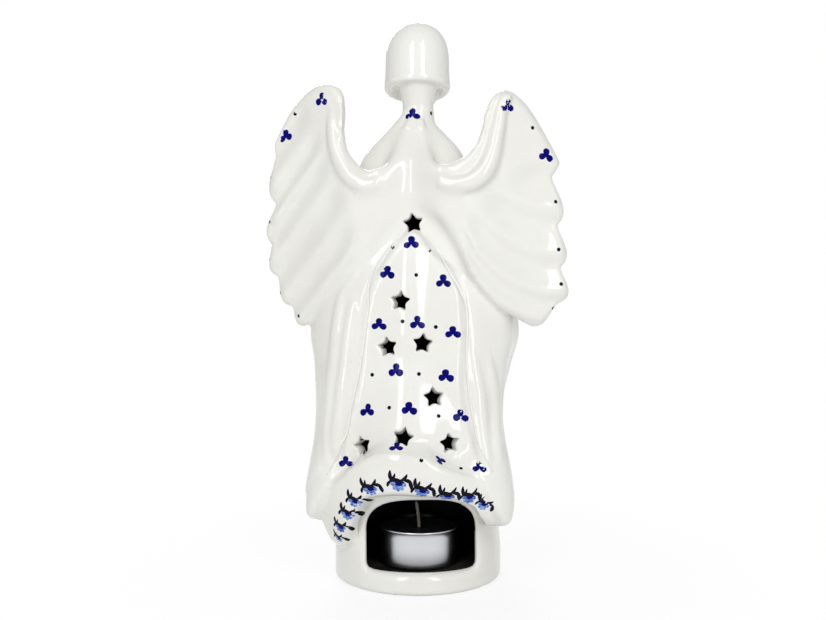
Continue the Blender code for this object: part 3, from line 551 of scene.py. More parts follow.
def spline(points, count):
    """Points evenly spread along a Catmull-Rom curve through the given ones."""
    points = np.array(points, float)
    ends = np.vstack([2 * points[0] - points[1], points, 2 * points[-1] - points[-2]])
    at = np.linspace(0, len(points) - 1 - 1e-9, count)
    i = at.astype(int)
    t = (at - i)[:, None]
    a, b, c, d = ends[i], ends[i + 1], ends[i + 2], ends[i + 3]
    return 0.5 * (2 * b + (c - a) * t + (2 * a - 5 * b + 4 * c - d) * t**2 + (3 * b - a - 3 * c + d) * t**3)


def swept(name, path, radii, sides=3):
    """A round tube along a curve, as a mesh with its caps welded on."""
    curve = bpy.data.curves.new(name, "CURVE")
    curve.dimensions = "3D"
    curve.bevel_depth = 1.0 * MM
    curve.bevel_resolution = sides
    curve.use_fill_caps = True
    line = curve.splines.new("POLY")
    line.points.add(len(path) - 1)
    for point, place, radius in zip(line.points, path, radii):
        point.co = (place[0] * MM, place[1] * MM, place[2] * MM, 1.0)
        point.radius = radius
    guide = bpy.data.objects.new(name, curve)
    bpy.context.scene.collection.objects.link(guide)
    bpy.context.view_layer.update()
    mesh = bpy.data.meshes.new_from_object(guide.evaluated_get(bpy.context.evaluated_depsgraph_get()))
    bpy.data.objects.remove(guide)
    bm = bmesh.new()
    bm.from_mesh(mesh)
    bpy.data.meshes.remove(mesh)
    bmesh.ops.remove_doubles(bm, verts=bm.verts, dist=1e-6)
    bmesh.ops.recalc_face_normals(bm, faces=bm.faces)
    return bm


def turned(profile, steps, tilt=0.0, turn=0.0, place=(0.0, 0.0, 0.0)):
    """A profile of radius and height spun about Z, tilted about X, turned about Z and moved."""
    bm = bmesh.new()
    verts = [bm.verts.new((r * MM, 0.0, z * MM)) for r, z in profile]
    edges = [bm.edges.new(pair) for pair in zip(verts, verts[1:])]
    bmesh.ops.spin(
        bm, geom=verts + edges, cent=(0, 0, 0), axis=(0, 0, 1), angle=2 * math.pi, steps=steps, use_merge=True
    )
    bmesh.ops.remove_doubles(bm, verts=bm.verts, dist=1e-6)
    for angle, axis in ((tilt, "X"), (turn, "Z")):
        matrix = Matrix.Rotation(math.radians(angle), 3, axis)
        bmesh.ops.rotate(bm, verts=bm.verts, cent=(0, 0, 0), matrix=matrix)
    bmesh.ops.translate(bm, verts=bm.verts, vec=[c * MM for c in place])
    bmesh.ops.recalc_face_normals(bm, faces=bm.faces)
    return bm


def wing_outline(tip, feathers, lower, upper):
    """The wing's edge in x and z: tip, feather ends, lower edge to the spine, and rim back up to the tip."""
    edge = list(spline(tip, 24))
    for (x0, z0, _), (x1, z1, bulge) in zip(feathers, feathers[1:]):
        along = np.linspace(0.0, 1.0, 12, endpoint=False)
        out = np.array([z1 - z0, x0 - x1]) / math.hypot(x1 - x0, z1 - z0) * -1
        swell = bulge * np.sin(np.pi * along**1.8) ** 0.7
        for t, s in zip(along, swell):
            edge.append((x0 + (x1 - x0) * t + out[0] * s, z0 + (z1 - z0) * t + out[1] * s))
    edge += list(spline(((feathers[-1][0], feathers[-1][1]),) + lower, 24))
    edge += list(spline(upper, 24))
    return np.array(edge, float)


def feather_rise(side, inboard):
    """How far a groove has risen at a distance in from the wing's edge."""
    if side < 0:
        return LEFT_SLOPE * inboard + LEFT_LIFT * (1 - np.exp(-inboard / 4.0))
    share = np.clip(inboard / RIGHT_SCOOP[0], 0.0, 0.995)
    return RIGHT_SCOOP[1] * (1 - np.sqrt(1 - share**2))


def wing(side, outline, feathers):
    """A thin rounded plate from a sphere: its rings follow the outline, its halves are the wing's faces."""
    bm = bmesh.new()
    bmesh.ops.create_uvsphere(bm, u_segments=460, v_segments=90, radius=1.0)
    unit = np.array([v.co[:] for v in bm.verts])
    centre = np.array(WING_CENTRE)
    offset = outline - centre
    bearing = np.arctan2(offset[:, 1], offset[:, 0])
    order = np.argsort(bearing)
    bearing, reach = bearing[order], np.hypot(offset[:, 0], offset[:, 1])[order]
    turn = np.arctan2(unit[:, 1], unit[:, 0])
    out = np.interp(turn, bearing, reach, period=2 * math.pi)
    ring = np.clip(np.hypot(unit[:, 0], unit[:, 1]), 0.0, 1.0)
    x = centre[0] + ring * out * np.cos(turn)
    z = centre[1] + ring * out * np.sin(turn)
    inset = np.clip(out * (1 - ring) / WING_EDGE_ROUND, 0.0, 1.0)
    half = WING_THICKNESS / 2 * np.sqrt(1 - (1 - inset) ** 2)
    leaning = WING_LEAN * np.maximum(z - WING_LEAN_FROM, 0.0)
    middle = WING_THICKNESS / 2 - through(WING_BACK, np.abs(x)) + leaning
    start = [f[1] - feather_rise(side, np.float64(FEATHER_EDGE - f[0])) for f in feathers][::-1]
    spacing = start[1] - start[0]
    start = [start[0] - spacing] + start + [start[-1] + 20.0]
    level = z - feather_rise(side, np.maximum(FEATHER_EDGE - x, 0.0))
    feather = np.interp(level, start, np.arange(len(start)))
    share = 1 - feather % 1.0
    crest = 0.5 - 0.5 * np.cos(2 * np.pi * share**1.35)
    fade_at, fade_grow = LEFT_FADE if side < 0 else RIGHT_FADE
    fade_at = fade_at + fade_grow * (z - FADE_HEIGHT)
    groove = GROOVE_DEPTH * (1 - crest) * ease(fade_at - 5.0, fade_at + 8.0, x) * (feather < len(start) - 1.6)
    y = middle + np.where(unit[:, 2] < 0, -(half - groove * np.minimum(inset * 1.6, 1.0)), half)
    for v, place in zip(bm.verts, zip(side * x * WING_SPAN / DRAWN_SPAN, y, stretched(z))):
        v.co = [c * MM for c in place]
    bmesh.ops.recalc_face_normals(bm, faces=bm.faces)
    return bm


def head_base():
    return float(stretched(HEAD_BASE))


def hollow_top():
    return head_base() - HOLLOW_BELOW_HEAD


def head():
    dome = HEAD_RADIUS
    profile = [(0.0, 4.2), (7.0, 3.8), (dome - 5.0, 2.2), (dome - 3.2, 0.6), (dome - 2.0, 0.0)]
    profile += [(dome - 0.9, 0.2), (dome - 0.2, 1.1), (dome, 2.4), (dome - 0.25, 6.0)]
    profile += [(dome - 0.45, 10.0), (dome - 0.5, HEAD_LENGTH * 0.5)]
    crown = HEAD_LENGTH - HEAD_DOME
    for step in range(1, 13):
        lift = math.radians(90 * step / 12)
        profile.append(((dome - 0.7) * math.cos(lift), crown + HEAD_DOME * math.sin(lift)))
    profile[-1] = (0.0, HEAD_LENGTH)
    return turned(profile, 96, tilt=-HEAD_BOW, turn=HEAD_TURN, place=(HEAD_SIDE, HEAD_FORWARD, head_base()))


def face():
    """A plain oval face set under the fringe, on the far side of the head."""
    bm = bmesh.new()
    bmesh.ops.create_uvsphere(bm, u_segments=32, v_segments=20, radius=1.0)
    bow = math.radians(HEAD_BOW)
    for v in bm.verts:
        x, y, z = v.co.x * 10.2, v.co.y * 9.0, v.co.z * 14.0 - 1.0 * (v.co.z < 0) * v.co.z**2
        y, z = y * math.cos(bow) + z * math.sin(bow), z * math.cos(bow) - y * math.sin(bow)
        v.co = ((HEAD_SIDE + x) * MM, (HEAD_FORWARD + 9.5 + y) * MM, (head_base() + 6.5 + z) * MM)
    return bm


def joined(parts):
    whole = bmesh.new()
    for bm in parts:
        mesh = bpy.data.meshes.new("part")
        bm.to_mesh(mesh)
        bm.free()
        whole.from_mesh(mesh)
        bpy.data.meshes.remove(mesh)
    return whole


def place_mesh(name, bm):
    """A finished bmesh as an object at the origin, facing outwards."""
    bmesh.ops.recalc_face_normals(bm, faces=bm.faces)
    if bm.calc_volume(signed=True) < 0:
        bmesh.ops.reverse_faces(bm, faces=bm.faces)
    mesh = bpy.data.meshes.new(name)
    bm.to_mesh(mesh)
    bm.free()
    mesh.shade_smooth()
    obj = bpy.data.objects.new(name, mesh)
    bpy.context.scene.collection.objects.link(obj)
    return obj


def bake_modifiers(obj):
    """The object's modifiers applied to its mesh."""
    bpy.context.view_layer.update()
    mesh = bpy.data.meshes.new_from_object(obj.evaluated_get(bpy.context.evaluated_depsgraph_get()))
    obj.modifiers.clear()
    obj.data = mesh
    return obj


def skin(rings):
    """A closed skin through equal rings of points, capped at both ends."""
    rings = np.asarray(rings, float)
    count, around = rings.shape[:2]
    bm = bmesh.new()
    bmesh.ops.create_grid(bm, x_segments=around, y_segments=count - 1, size=0.5)
    for v in bm.verts:
        i = int(round((v.co.x + 0.5) * around)) % around
        j = int(round((v.co.y + 0.5) * (count - 1)))
        v.co = rings[j, i] * MM
    bmesh.ops.remove_doubles(bm, verts=bm.verts, dist=1e-7)
    bmesh.ops.holes_fill(bm, edges=[e for e in bm.edges if e.is_boundary])
    return bm


def ridge(surface, pixels, thick, proud):
    """A tube that follows the surface through places of the photograph and stands proud of it."""
    path = spline([seen(surface, pixel)[0] / MM for pixel in pixels], 120)
    feet = []
    for point in path:
        out = Vector((point[0], point[1], 0.0)).normalized()
        feet.append(onto(surface, Vector(point) * MM, out)[0] / MM + out * (proud - thick))
    for _ in range(6):
        feet = [feet[0]] + [(a + b * 2 + c) / 4 for a, b, c in zip(feet, feet[1:], feet[2:])] + [feet[-1]]
    return swept("ridge", feet, thick * np.sin(np.pi * np.linspace(0.02, 0.98, 120)) ** 0.3, 6)


# Figure


def outer_forms():
    """Drum, robe, head, face, wings, rims, nape, sleeves and hands, before they melt together."""
    parts = [tube(figure_radius, 0.0, head_base() + 3.0, 420, 420), head(), face()]
    nape = spline([(x, y, stretched(z)) for x, y, z in NAPE_PATH], 24)
    parts.append(swept("nape", nape, np.interp(np.linspace(0, 4, 24), range(5), NAPE_RADII), 8))
    for side, tip, feathers, lower, upper, inner in (
        (-1, LEFT_TIP, LEFT_FEATHERS, LEFT_LOWER, LEFT_UPPER, LEFT_RIM),
        (1, RIGHT_TIP, RIGHT_FEATHERS, RIGHT_LOWER, RIGHT_UPPER, RIGHT_RIM),
    ):
        parts.append(wing(side, wing_outline(tip, feathers, lower, upper), feathers))
        rim = spline([(side * x * WING_SPAN / DRAWN_SPAN, y, stretched(z)) for x, y, z in inner], 60)
        thick = np.interp(np.arange(60), (0, 8, 25, 45, 59), (0.55, 0.7, 1.0, 1.0, 0.46)) * RIDGE_RADIUS
        parts.append(swept("rim", rim, thick, 8))
        arm = spline([(side * x, y, stretched(z)) for x, y, z in SLEEVE_PATH], 30)
        parts.append(swept("sleeve", arm, np.interp(np.linspace(0, 5, 30), range(6), SLEEVE_RADII), 8))
        hand = spline([(side * x, y, stretched(z)) for x, y, z in HANDS_PATH], 12)
        parts.append(swept("hand", hand, np.interp(np.linspace(0, 2, 12), range(3), HANDS_RADII), 8))
    return joined(parts)


def settled(bm, verts, passes):
    """The given points smoothed towards their neighbours, pass after pass."""
    for _ in range(passes):
        bmesh.ops.smooth_vert(bm, verts=verts, factor=0.5, use_axis_x=True, use_axis_y=True, use_axis_z=True)


def cast_figure():
    """The outer forms melted together, smoothed, and drawn back to the exact forms away from the joins."""
    forms = outer_forms()
    smooth = BVHTree.FromBMesh(forms)
    ridges = [ridge(smooth, pixels, FOLD_THICK, FOLD_PROUD) for pixels in FOLDS_SEEN]
    forms = joined([forms] + ridges)
    exact = BVHTree.FromBMesh(forms)
    figure = place_mesh("angel_glaze", forms)
    melt = figure.modifiers.new("melt", "REMESH")
    melt.mode = "VOXEL"
    melt.voxel_size = CAST_VOXEL * MM
    soften = figure.modifiers.new("soften", "SMOOTH")
    soften.factor = 0.5
    soften.iterations = SOFTEN_STEPS
    bake_modifiers(figure)
    for v in figure.data.vertices:
        near, _, _, gap = exact.find_nearest(v.co, SNAP_FAR * MM)
        if near is None:
            continue
        pull = 1.0 - min(max((gap / MM - SNAP_NEAR) / (SNAP_FAR - SNAP_NEAR), 0.0), 1.0)
        v.co = v.co.lerp(near, pull)
    soft = bmesh.new()
    soft.from_mesh(figure.data)
    nape = []
    for v in soft.verts:
        x, y, z = (c / MM for c in v.co)
        if abs(x) < NAPE_HALF_WIDTH and y < -NAPE_BEHIND and NAPE_LOW < z < NAPE_HIGH:
            nape.append(v)
    settled(soft, nape, NAPE_PASSES)
    valley = []
    for v in soft.verts:
        x, y, z = (c / MM for c in v.co)
        if y < -VALLEY_BEHIND and abs(x) < VALLEY_HALF_WIDTH and VALLEY_LOW < z < VALLEY_HIGH:
            angle, height = math.degrees(math.atan2(x, -y)), float(drawn_height(z))
            left, right = through(CREASE_LEFT, height), through(CREASE_RIGHT, height)
            if height > PANEL_TOP + 1 or angle < left - VALLEY_BESIDE or angle > right + VALLEY_BESIDE:
                valley.append(v)
    settled(soft, valley, VALLEY_PASSES)
    soft.to_mesh(figure.data)
    soft.free()
    settle = figure.modifiers.new("settle", "SMOOTH")
    settle.factor = 0.5
    settle.iterations = SETTLE_STEPS
    return bake_modifiers(figure)


def cavity_radius(angle, z):
    """The hollow inside: the outer form taken in by the wall, at the narrowest place within reach."""
    nearest = None
    for turn in (-9.0, -4.5, 0.0, 4.5, 9.0):
        for lift in (-WALL, -WALL / 2, 0.0, WALL / 2, WALL):
            here = figure_radius(angle + turn, np.maximum(z + lift, FLOOR))
            nearest = here if nearest is None else np.minimum(nearest, here)
    return np.maximum(nearest - WALL, 0.6)


def opening_cutter():
    """The arched opening as a bar along its own direction, widening where it leaves the drum's outer face."""
    lean = np.linspace(0, 2 * np.pi, 96, endpoint=False)
    c, s = np.cos(lean), np.sin(lean)
    power = np.where(s > 0, OPENING_SQUARENESS, SILL_SQUARENESS)
    size = (np.abs(c) ** power + np.abs(s) ** power) ** (-1 / power)
    middle = SILL_HEIGHT + OPENING_HEIGHT / 2
    turn = math.radians(OPENING_TURN)
    rings = []
    for depth, flare in OPENING_EDGE:
        across = (OPENING_WIDTH / 2 + flare) * c * size
        up = middle + (OPENING_HEIGHT / 2 + flare) * s * size
        face = np.sqrt(np.maximum(drum_radius(up) ** 2 - np.minimum(np.abs(across), 30.0) ** 2, 1.0))
        along = np.where(depth < -20, CHAMBER_RADIUS * 0.4, face + depth)
        x = across * math.cos(turn) + along * math.sin(turn)
        y = across * math.sin(turn) - along * math.cos(turn)
        rings.append(np.stack([x, y, up], axis=1))
    return skin(rings)


def star_ring():
    """The star's outline with its points and corners a little rounded."""
    corners = []
    for spoke in range(10):
        size = STAR_WAIST * STAR_FULLNESS / 2 if spoke % 2 else STAR_SPAN / 2
        corners.append((size * math.cos(math.radians(36 * spoke)), size * math.sin(math.radians(36 * spoke))))
    corners = np.array(corners + corners[:1])
    steps = np.linspace(0, 1, 6)[:-1]
    ring = np.array([a + (b - a) * t for a, b in zip(corners, corners[1:]) for t in steps])
    for _ in range(STAR_ROUNDING):
        ring = 0.5 * ring + 0.25 * (np.roll(ring, 1, axis=0) + np.roll(ring, -1, axis=0))
    return ring


def tangent_frame(normal):
    up = (Vector((0, 0, 1)) - normal * normal.z).normalized()
    return up.cross(normal).normalized(), up


def onto(surface, point, normal):
    """The place and slope of the glaze under a point that floats over it."""
    place, slope, _, _ = surface.ray_cast(point + normal * 4 * MM, -normal, 0.012)
    return (place, slope) if place else (point, normal)


def star_cutter(surface, pixel, spin, size):
    """A star-shaped drill square to the wall, flared where it leaves the glaze to round the edge."""
    place, normal = seen(surface, pixel)
    right, up = tangent_frame(normal)
    turn = math.radians(90 + spin)
    ring = star_ring() * size
    ring = ring @ np.array([[math.cos(turn), math.sin(turn)], [-math.sin(turn), math.cos(turn)]])
    edge = np.roll(ring, -1, axis=0) - np.roll(ring, 1, axis=0)
    out = np.stack([edge[:, 1], -edge[:, 0]], axis=1)
    out /= np.linalg.norm(out, axis=1)[:, None]
    feet = [onto(surface, place + (right * a + up * b) * MM, normal)[0] / MM for a, b in ring]
    rings = []
    for depth, flare in STAR_EDGE:
        away = [(right * o[0] + up * o[1]) * flare for o in out]
        rings.append([foot + normal * depth + side for foot, side in zip(feet, away)])
    return skin([[list(p) for p in ring] for ring in rings])


def foot_radius(angle, z):
    """The recess under the drum, drawn in a little at its top."""
    return np.full_like(angle, DRUM_RADIUS - FOOT_RING) - 0.8 * ease(FOOT_RECESS - 1.2, FOOT_RECESS, z)


def cut_figure(figure, glaze, chamber):
    """The foot, the hollow, the candle opening and the stars cut out of the casting."""
    points = [v.co.copy() for v in figure.data.vertices]
    surface = BVHTree.FromPolygons(points, [p.vertices[:] for p in figure.data.polygons])
    tools = [
        place_mesh("foot_cut", tube(foot_radius, -5.0, FOOT_RECESS, 96, 24)),
        place_mesh("hollow_cut", tube(cavity_radius, FLOOR, hollow_top(), 96, 88)),
        place_mesh("opening_cut", opening_cutter()),
    ]
    tools += [place_mesh(f"star_cut_{i}", star_cutter(surface, *star)) for i, star in enumerate(STARS_SEEN)]
    for tool in tools:
        cut = figure.modifiers.new(tool.name, "BOOLEAN")
        cut.operation = "DIFFERENCE"
        cut.solver = "MANIFOLD"
        cut.object = tool
    bake_modifiers(figure)
    for tool in tools:
        bpy.data.objects.remove(tool)
    mesh = figure.data
    mesh.materials.clear()
    mesh.materials.append(glaze)
    mesh.materials.append(chamber)
    centres = np.empty(len(mesh.polygons) * 3)
    mesh.polygons.foreach_get("center", centres)
    centres = centres.reshape(-1, 3) / MM
    radius = np.hypot(centres[:, 0], centres[:, 1])
    angle = np.degrees(np.arctan2(centres[:, 0], -centres[:, 1]))
    hollow = cavity_radius(angle, centres[:, 2])
    # The hollow's near-black painted shade covers its faces and runs out into the cut faces of the opening
    # and stars, further at the opening's top edge, where only shade falls
    overhead = (centres[:, 2] > HOLLOW_SHADE_REACHES_OUT_ABOVE) & (centres[:, 2] < SILL_HEIGHT + OPENING_HEIGHT + 3)
    reach = np.where(overhead, 2.6, 1.4)
    shade_painted_faces = (radius < hollow + reach) & (centres[:, 2] > FLOOR - 0.2) & (centres[:, 2] < hollow_top() + 0.5)
    mesh.polygons.foreach_set("material_index", shade_painted_faces.astype(np.int32))
    mesh.shade_smooth()
    mesh.set_sharp_from_angle(angle=SHARP_FROM)
    mesh.update()
    return surface


# Camera


def make_camera():
    turn, pitch = math.radians(EYE_TURN), math.radians(EYE_PITCH)
    data = bpy.data.cameras.new("photo_camera")
    data.sensor_width = 36.0
    data.lens = FOCAL_PIXELS / PICTURE_WIDTH * data.sensor_width
    data.clip_start = 0.01
    camera = bpy.data.objects.new("photo_camera", data)
    bpy.context.scene.collection.objects.link(camera)
    x = EYE_DISTANCE * math.sin(turn) - EYE_SIDESTEP * math.cos(turn)
    y = -EYE_DISTANCE * math.cos(turn) - EYE_SIDESTEP * math.sin(turn)
    camera.location = (x * MM, y * MM, EYE_HEIGHT * MM)
    camera.rotation_euler = (math.pi / 2 - pitch, 0.0, turn)
    bpy.context.scene.camera = camera
    bpy.context.view_layer.update()
    return camera


def seen(surface, pixel):
    """The point of the figure that the photograph shows at a pixel, with its outward slope."""
    camera = bpy.context.scene.camera
    across, down = pixel
    place = None
    while place is None:
        aside = (across - PICTURE_WIDTH / 2) / FOCAL_PIXELS
        ray = Vector((aside, (PICTURE_HEIGHT / 2 - down) / FOCAL_PIXELS, -1.0))
        direction = (camera.matrix_world.to_3x3() @ ray).normalized()
        place, slope, _, _ = surface.ray_cast(camera.location, direction, 2.0)
        across += math.copysign(1.0, PICTURE_WIDTH / 2 - across)
    smooth = Vector()
    right, up = tangent_frame(slope)
    for a, b in ((0, 0), (1.5, 0), (-1.5, 0), (0, 1.5), (0, -1.5)):
        smooth += onto(surface, place + (right * a + up * b) * MM, slope)[1]
    return place, smooth.normalized()


# Painted motifs


def dab(surface, place, normal, lean, length, width, shape=0.0, bend=0.0):
    """One brush dab: a thin lens on the glaze, long along its lean, fuller at its far end with shape."""
    bm = bmesh.new()
    bmesh.ops.create_uvsphere(bm, u_segments=16, v_segments=8, radius=1.0)
    right, up = tangent_frame(normal)
    turn = math.radians(lean)
    for v in bm.verts:
        along, side, high = v.co.x, v.co.y, v.co.z
        side = side * (1 + shape * along) * width / 2
        reach = along * length / 2
        side += bend * (along**2 - 0.5) * length / 2
        a = reach * math.sin(turn) + side * math.cos(turn)
        b = reach * math.cos(turn) - side * math.sin(turn)
        foot, slope = onto(surface, place + (right * a + up * b) * MM, normal)
        v.co = foot + slope * (high * (PAINT_RISE if high > 0 else PAINT_SINK)) * MM
    return bm


def shifted(surface, place, normal, a, b):
    right, up = tangent_frame(normal)
    return onto(surface, place + (right * a + up * b) * MM, normal)[0]


# Petals of the three-petalled flowers: lean, reach from the middle and length
TREFOIL_PETALS = ((0.0, 1.4, 3.5), (112.0, 1.75, 3.7), (-112.0, 1.75, 3.5))


def trefoil(surface, pixel, turn, size):
    """Three full petals, one up and two down, that meet in the middle."""
    place, normal = seen(surface, pixel)
    dabs = []
    for petal, (lean, reach, length) in enumerate(TREFOIL_PETALS):
        lean += turn + 9.0 * math.sin(pixel[0] * 1.7 + petal * 2.0)
        way = math.radians(lean)
        a, b = math.sin(way) * reach * size, (math.cos(way) * reach + 0.5) * size
        middle = shifted(surface, place, normal, a, b)
        broad = 2.9 + 0.25 * math.sin(pixel[1] * 2.3 + petal)
        dabs.append(dab(surface, middle, normal, lean, length * size, broad * size, 0.24))
    return dabs


# Petals of the hem's flowers: lean, reach from the heart and length
PETALS = ((-112.0, 2.3, 2.4), (-150.0, 2.5, 2.8), (180.0, 2.6, 3.0), (150.0, 2.5, 2.8), (112.0, 2.3, 2.4))


def border_flower(surface, pixel, turn, size):
    """One flower of the hem: a fan of wash-blue petals that hangs from a dark heart."""
    place, normal = seen(surface, pixel)
    dabs = []
    for lean, reach, length in PETALS:
        way = math.radians(lean + turn)
        middle = shifted(surface, place, normal, math.sin(way) * reach * size, math.cos(way) * reach * size)
        dabs.append(dab(surface, middle, normal, lean + turn, length * size, 1.7 * size, 0.25))
    return dabs


def border_strokes(surface, pixel, turn, size, strokes):
    """Brush strokes about one flower: places and leans in the flower's own turn."""
    place, normal = seen(surface, pixel)
    way = math.radians(turn)
    dabs = []
    for a, b, lean, length, width, bend in strokes:
        x = (a * math.cos(way) + b * math.sin(way)) * size
        y = (b * math.cos(way) - a * math.sin(way)) * size
        middle = shifted(surface, place, normal, x, y)
        dabs.append(dab(surface, middle, normal, lean + turn, length * size, width * size, -0.2, bend))
    return dabs


# Strokes of the hem's flowers: across, up, lean, length, width and bend
HEART_STROKES = ((0.6, -0.7, 84.0, 4.8, 2.6, 0.0),)
LEAF_STROKES = (
    (-0.6, 0.3, 97.0, 6.6, 2.2, 0.12), (-3.4, 2.3, -14.0, 4.6, 1.7, 0.2), (-2.2, 1.9, 24.0, 3.4, 1.2, -0.2),
    (2.2, 1.9, 42.0, 4.2, 1.4, -0.25), (4.0, 0.5, 112.0, 4.0, 1.7, 0.25), (5.1, -1.4, 162.0, 3.4, 1.7, 0.2),
    (-3.9, -0.9, 28.0, 3.4, 1.3, 0.2),
)


def paint_motifs(surface, cobalt, wash, black):
    trefoils = []
    for pixel, turn, size in TREFOILS_SEEN:
        trefoils += trefoil(surface, pixel, turn, size)
    dots = [dab(surface, *seen(surface, pixel), 0.0, DOT_SIZE, DOT_SIZE) for pixel in DOTS_SEEN]
    flowers, leaves = [], []
    for pixel, turn, size in BORDER_SEEN:
        flowers += border_flower(surface, pixel, turn, size)
        trefoils += border_strokes(surface, pixel, turn, size, HEART_STROKES)
        leaves += border_strokes(surface, pixel, turn, size, LEAF_STROKES)
    made = []
    for name, dabs, material in (
        ("trefoils", trefoils, cobalt),
        ("dots", dots, black),
        ("hem_flowers", flowers, wash),
        ("hem_leaves", leaves, black),
    ):
        piece = place_mesh(name, joined(dabs))
        piece.data.materials.append(material)
        made.append(piece)
    return made


def cloak_edges(surface, glaze):
    """The thin raised lip along the cloak's edge on each side of the back panel."""
    beads = [ridge(surface, pixels, EDGE_BEAD, EDGE_BEAD) for pixels in CLOAK_EDGES_SEEN]
    edges = place_mesh("cloak_edges", joined(beads))
    edges.data.materials.append(glaze)
    return edges


# Materials


class Value:
    """A number on a socket, whose arithmetic adds Math nodes."""

    def __init__(self, tree, socket):
        self.tree = tree
        self.socket = socket

    def _math(self, operation, first, second):
        node = self.tree.nodes.new("ShaderNodeMath")
        node.operation = operation
        for slot, value in zip(node.inputs, (first, second)):
            if isinstance(value, Value):
                self.tree.links.new(value.socket, slot)
            else:
                slot.default_value = value
        return Value(self.tree, node.outputs[0])

    def __add__(self, other):
        return self._math("ADD", self, other)

    __radd__ = __add__

    def __sub__(self, other):
        return self._math("SUBTRACT", self, other)

    def __rsub__(self, other):
        return self._math("SUBTRACT", other, self)

    def __mul__(self, other):
        return self._math("MULTIPLY", self, other)

    __rmul__ = __mul__

    def ramp(self, low, high):
        """0 below low, 1 above high, smooth between."""
        node = self.tree.nodes.new("ShaderNodeMapRange")
        node.interpolation_type = "SMOOTHSTEP"
        self.tree.links.new(self.socket, node.inputs["Value"])
        node.inputs["From Min"].default_value = low
        node.inputs["From Max"].default_value = high
        return Value(self.tree, node.outputs["Result"])


class Finish:
    """A Principled material under construction."""

    def __init__(self, name, colour, roughness, **sockets):
        self.material = bpy.data.materials.new(name)
        self.material.use_nodes = True
        self.tree = self.material.node_tree
        self.shader = self.tree.nodes["Principled BSDF"]
        self.set("Base Color", (*colour, 1.0))
        self.set("Roughness", roughness)
        for socket, value in sockets.items():
            self.set(socket.replace("_", " "), value)
        self.place = self.node("ShaderNodeTexCoord").outputs["Object"]

    def set(self, socket, value):
        slot = self.shader.inputs[socket]
        if isinstance(value, Value):
            value = value.socket
        if isinstance(value, bpy.types.NodeSocket):
            self.tree.links.new(value, slot)
        else:
            slot.default_value = value

    def node(self, kind, settings=(), **sockets):
        made = self.tree.nodes.new(kind)
        for name, value in dict(settings).items():
            setattr(made, name, value)
        for name, value in sockets.items():
            slot = made.inputs[name.replace("_", " ")]
            if isinstance(value, Value):
                value = value.socket
            if isinstance(value, bpy.types.NodeSocket):
                self.tree.links.new(value, slot)
            else:
                slot.default_value = value
        return made

    def noise(self, scale, detail=2.0, roughness=0.5, place=None):
        sockets = {"Vector": place or self.place, "Scale": scale, "Detail": detail, "Roughness": roughness}
        return Value(self.tree, self.node("ShaderNodeTexNoise", **sockets).outputs[0])

    def height(self):
        split = self.node("ShaderNodeSeparateXYZ", Vector=self.place)
        return Value(self.tree, split.outputs["Z"])

    def blend(self, amount, first, second):
        made = self.node("ShaderNodeMix", {"data_type": "RGBA"})
        for slot, value in ((made.inputs[0], amount), (made.inputs[6], first), (made.inputs[7], second)):
            if isinstance(value, Value):
                value = value.socket
            if isinstance(value, bpy.types.NodeSocket):
                self.tree.links.new(value, slot)
            else:
                slot.default_value = (*value, 1.0) if isinstance(value, tuple) else value
        return made.outputs[2]

    def bump(self, height, depth, strength=1.0):
        made = self.node("ShaderNodeBump", Height=height, Distance=depth, Strength=strength)
        self.set("Normal", made.outputs["Normal"])


def glaze_finish():
    """Warm white glossy glaze: faint tone drift, sparse fine specks, and bare grey clay on the foot ring."""
    finish = Finish("white_glaze", GLAZE_COLOUR, 0.1)
    drift = finish.noise(28.0, 3.0).ramp(0.35, 0.65)
    tone = finish.blend(drift, GLAZE_COLOUR, GLAZE_SHADE)
    speck = finish.noise(900.0, 0.0).ramp(0.78, 0.86)
    tone = finish.blend(speck * 0.16, tone, SPECK_COLOUR)
    bare = 1.0 - finish.height().ramp(0.4 * MM, 0.9 * MM)
    finish.set("Base Color", finish.blend(bare, tone, CLAY_COLOUR))
    finish.set("Roughness", 0.07 + bare * 0.6 + finish.noise(60.0, 1.0) * 0.03)
    finish.bump(finish.noise(140.0, 1.0), 0.00006, 0.5)
    return finish.material


def hollow_shade_finish():
    """The inside of the hollow: near-black painted shade, with paler patches at random."""
    finish = Finish("hollow_painted_shade", HOLLOW_SHADE_COLOUR, 1.0, Specular_IOR_Level=0.0)
    finish.set("Base Color", finish.blend(finish.noise(70.0, 3.0).ramp(0.35, 0.7), HOLLOW_SHADE_COLOUR, HOLLOW_SHADE_PALER))
    finish.bump(finish.noise(400.0, 2.0), 0.0001, 0.4)
    return finish.material


def paint_finish(name, deep, light, share):
    """Underglaze paint: deep where the brush was full and thin towards one side, under the same gloss."""
    finish = Finish(name, deep, 0.14, Specular_IOR_Level=0.08)
    pool = finish.noise(620.0, 2.0).ramp(share - 0.12, share + 0.12)
    finish.set("Base Color", finish.blend(pool, deep, light))
    return finish.material


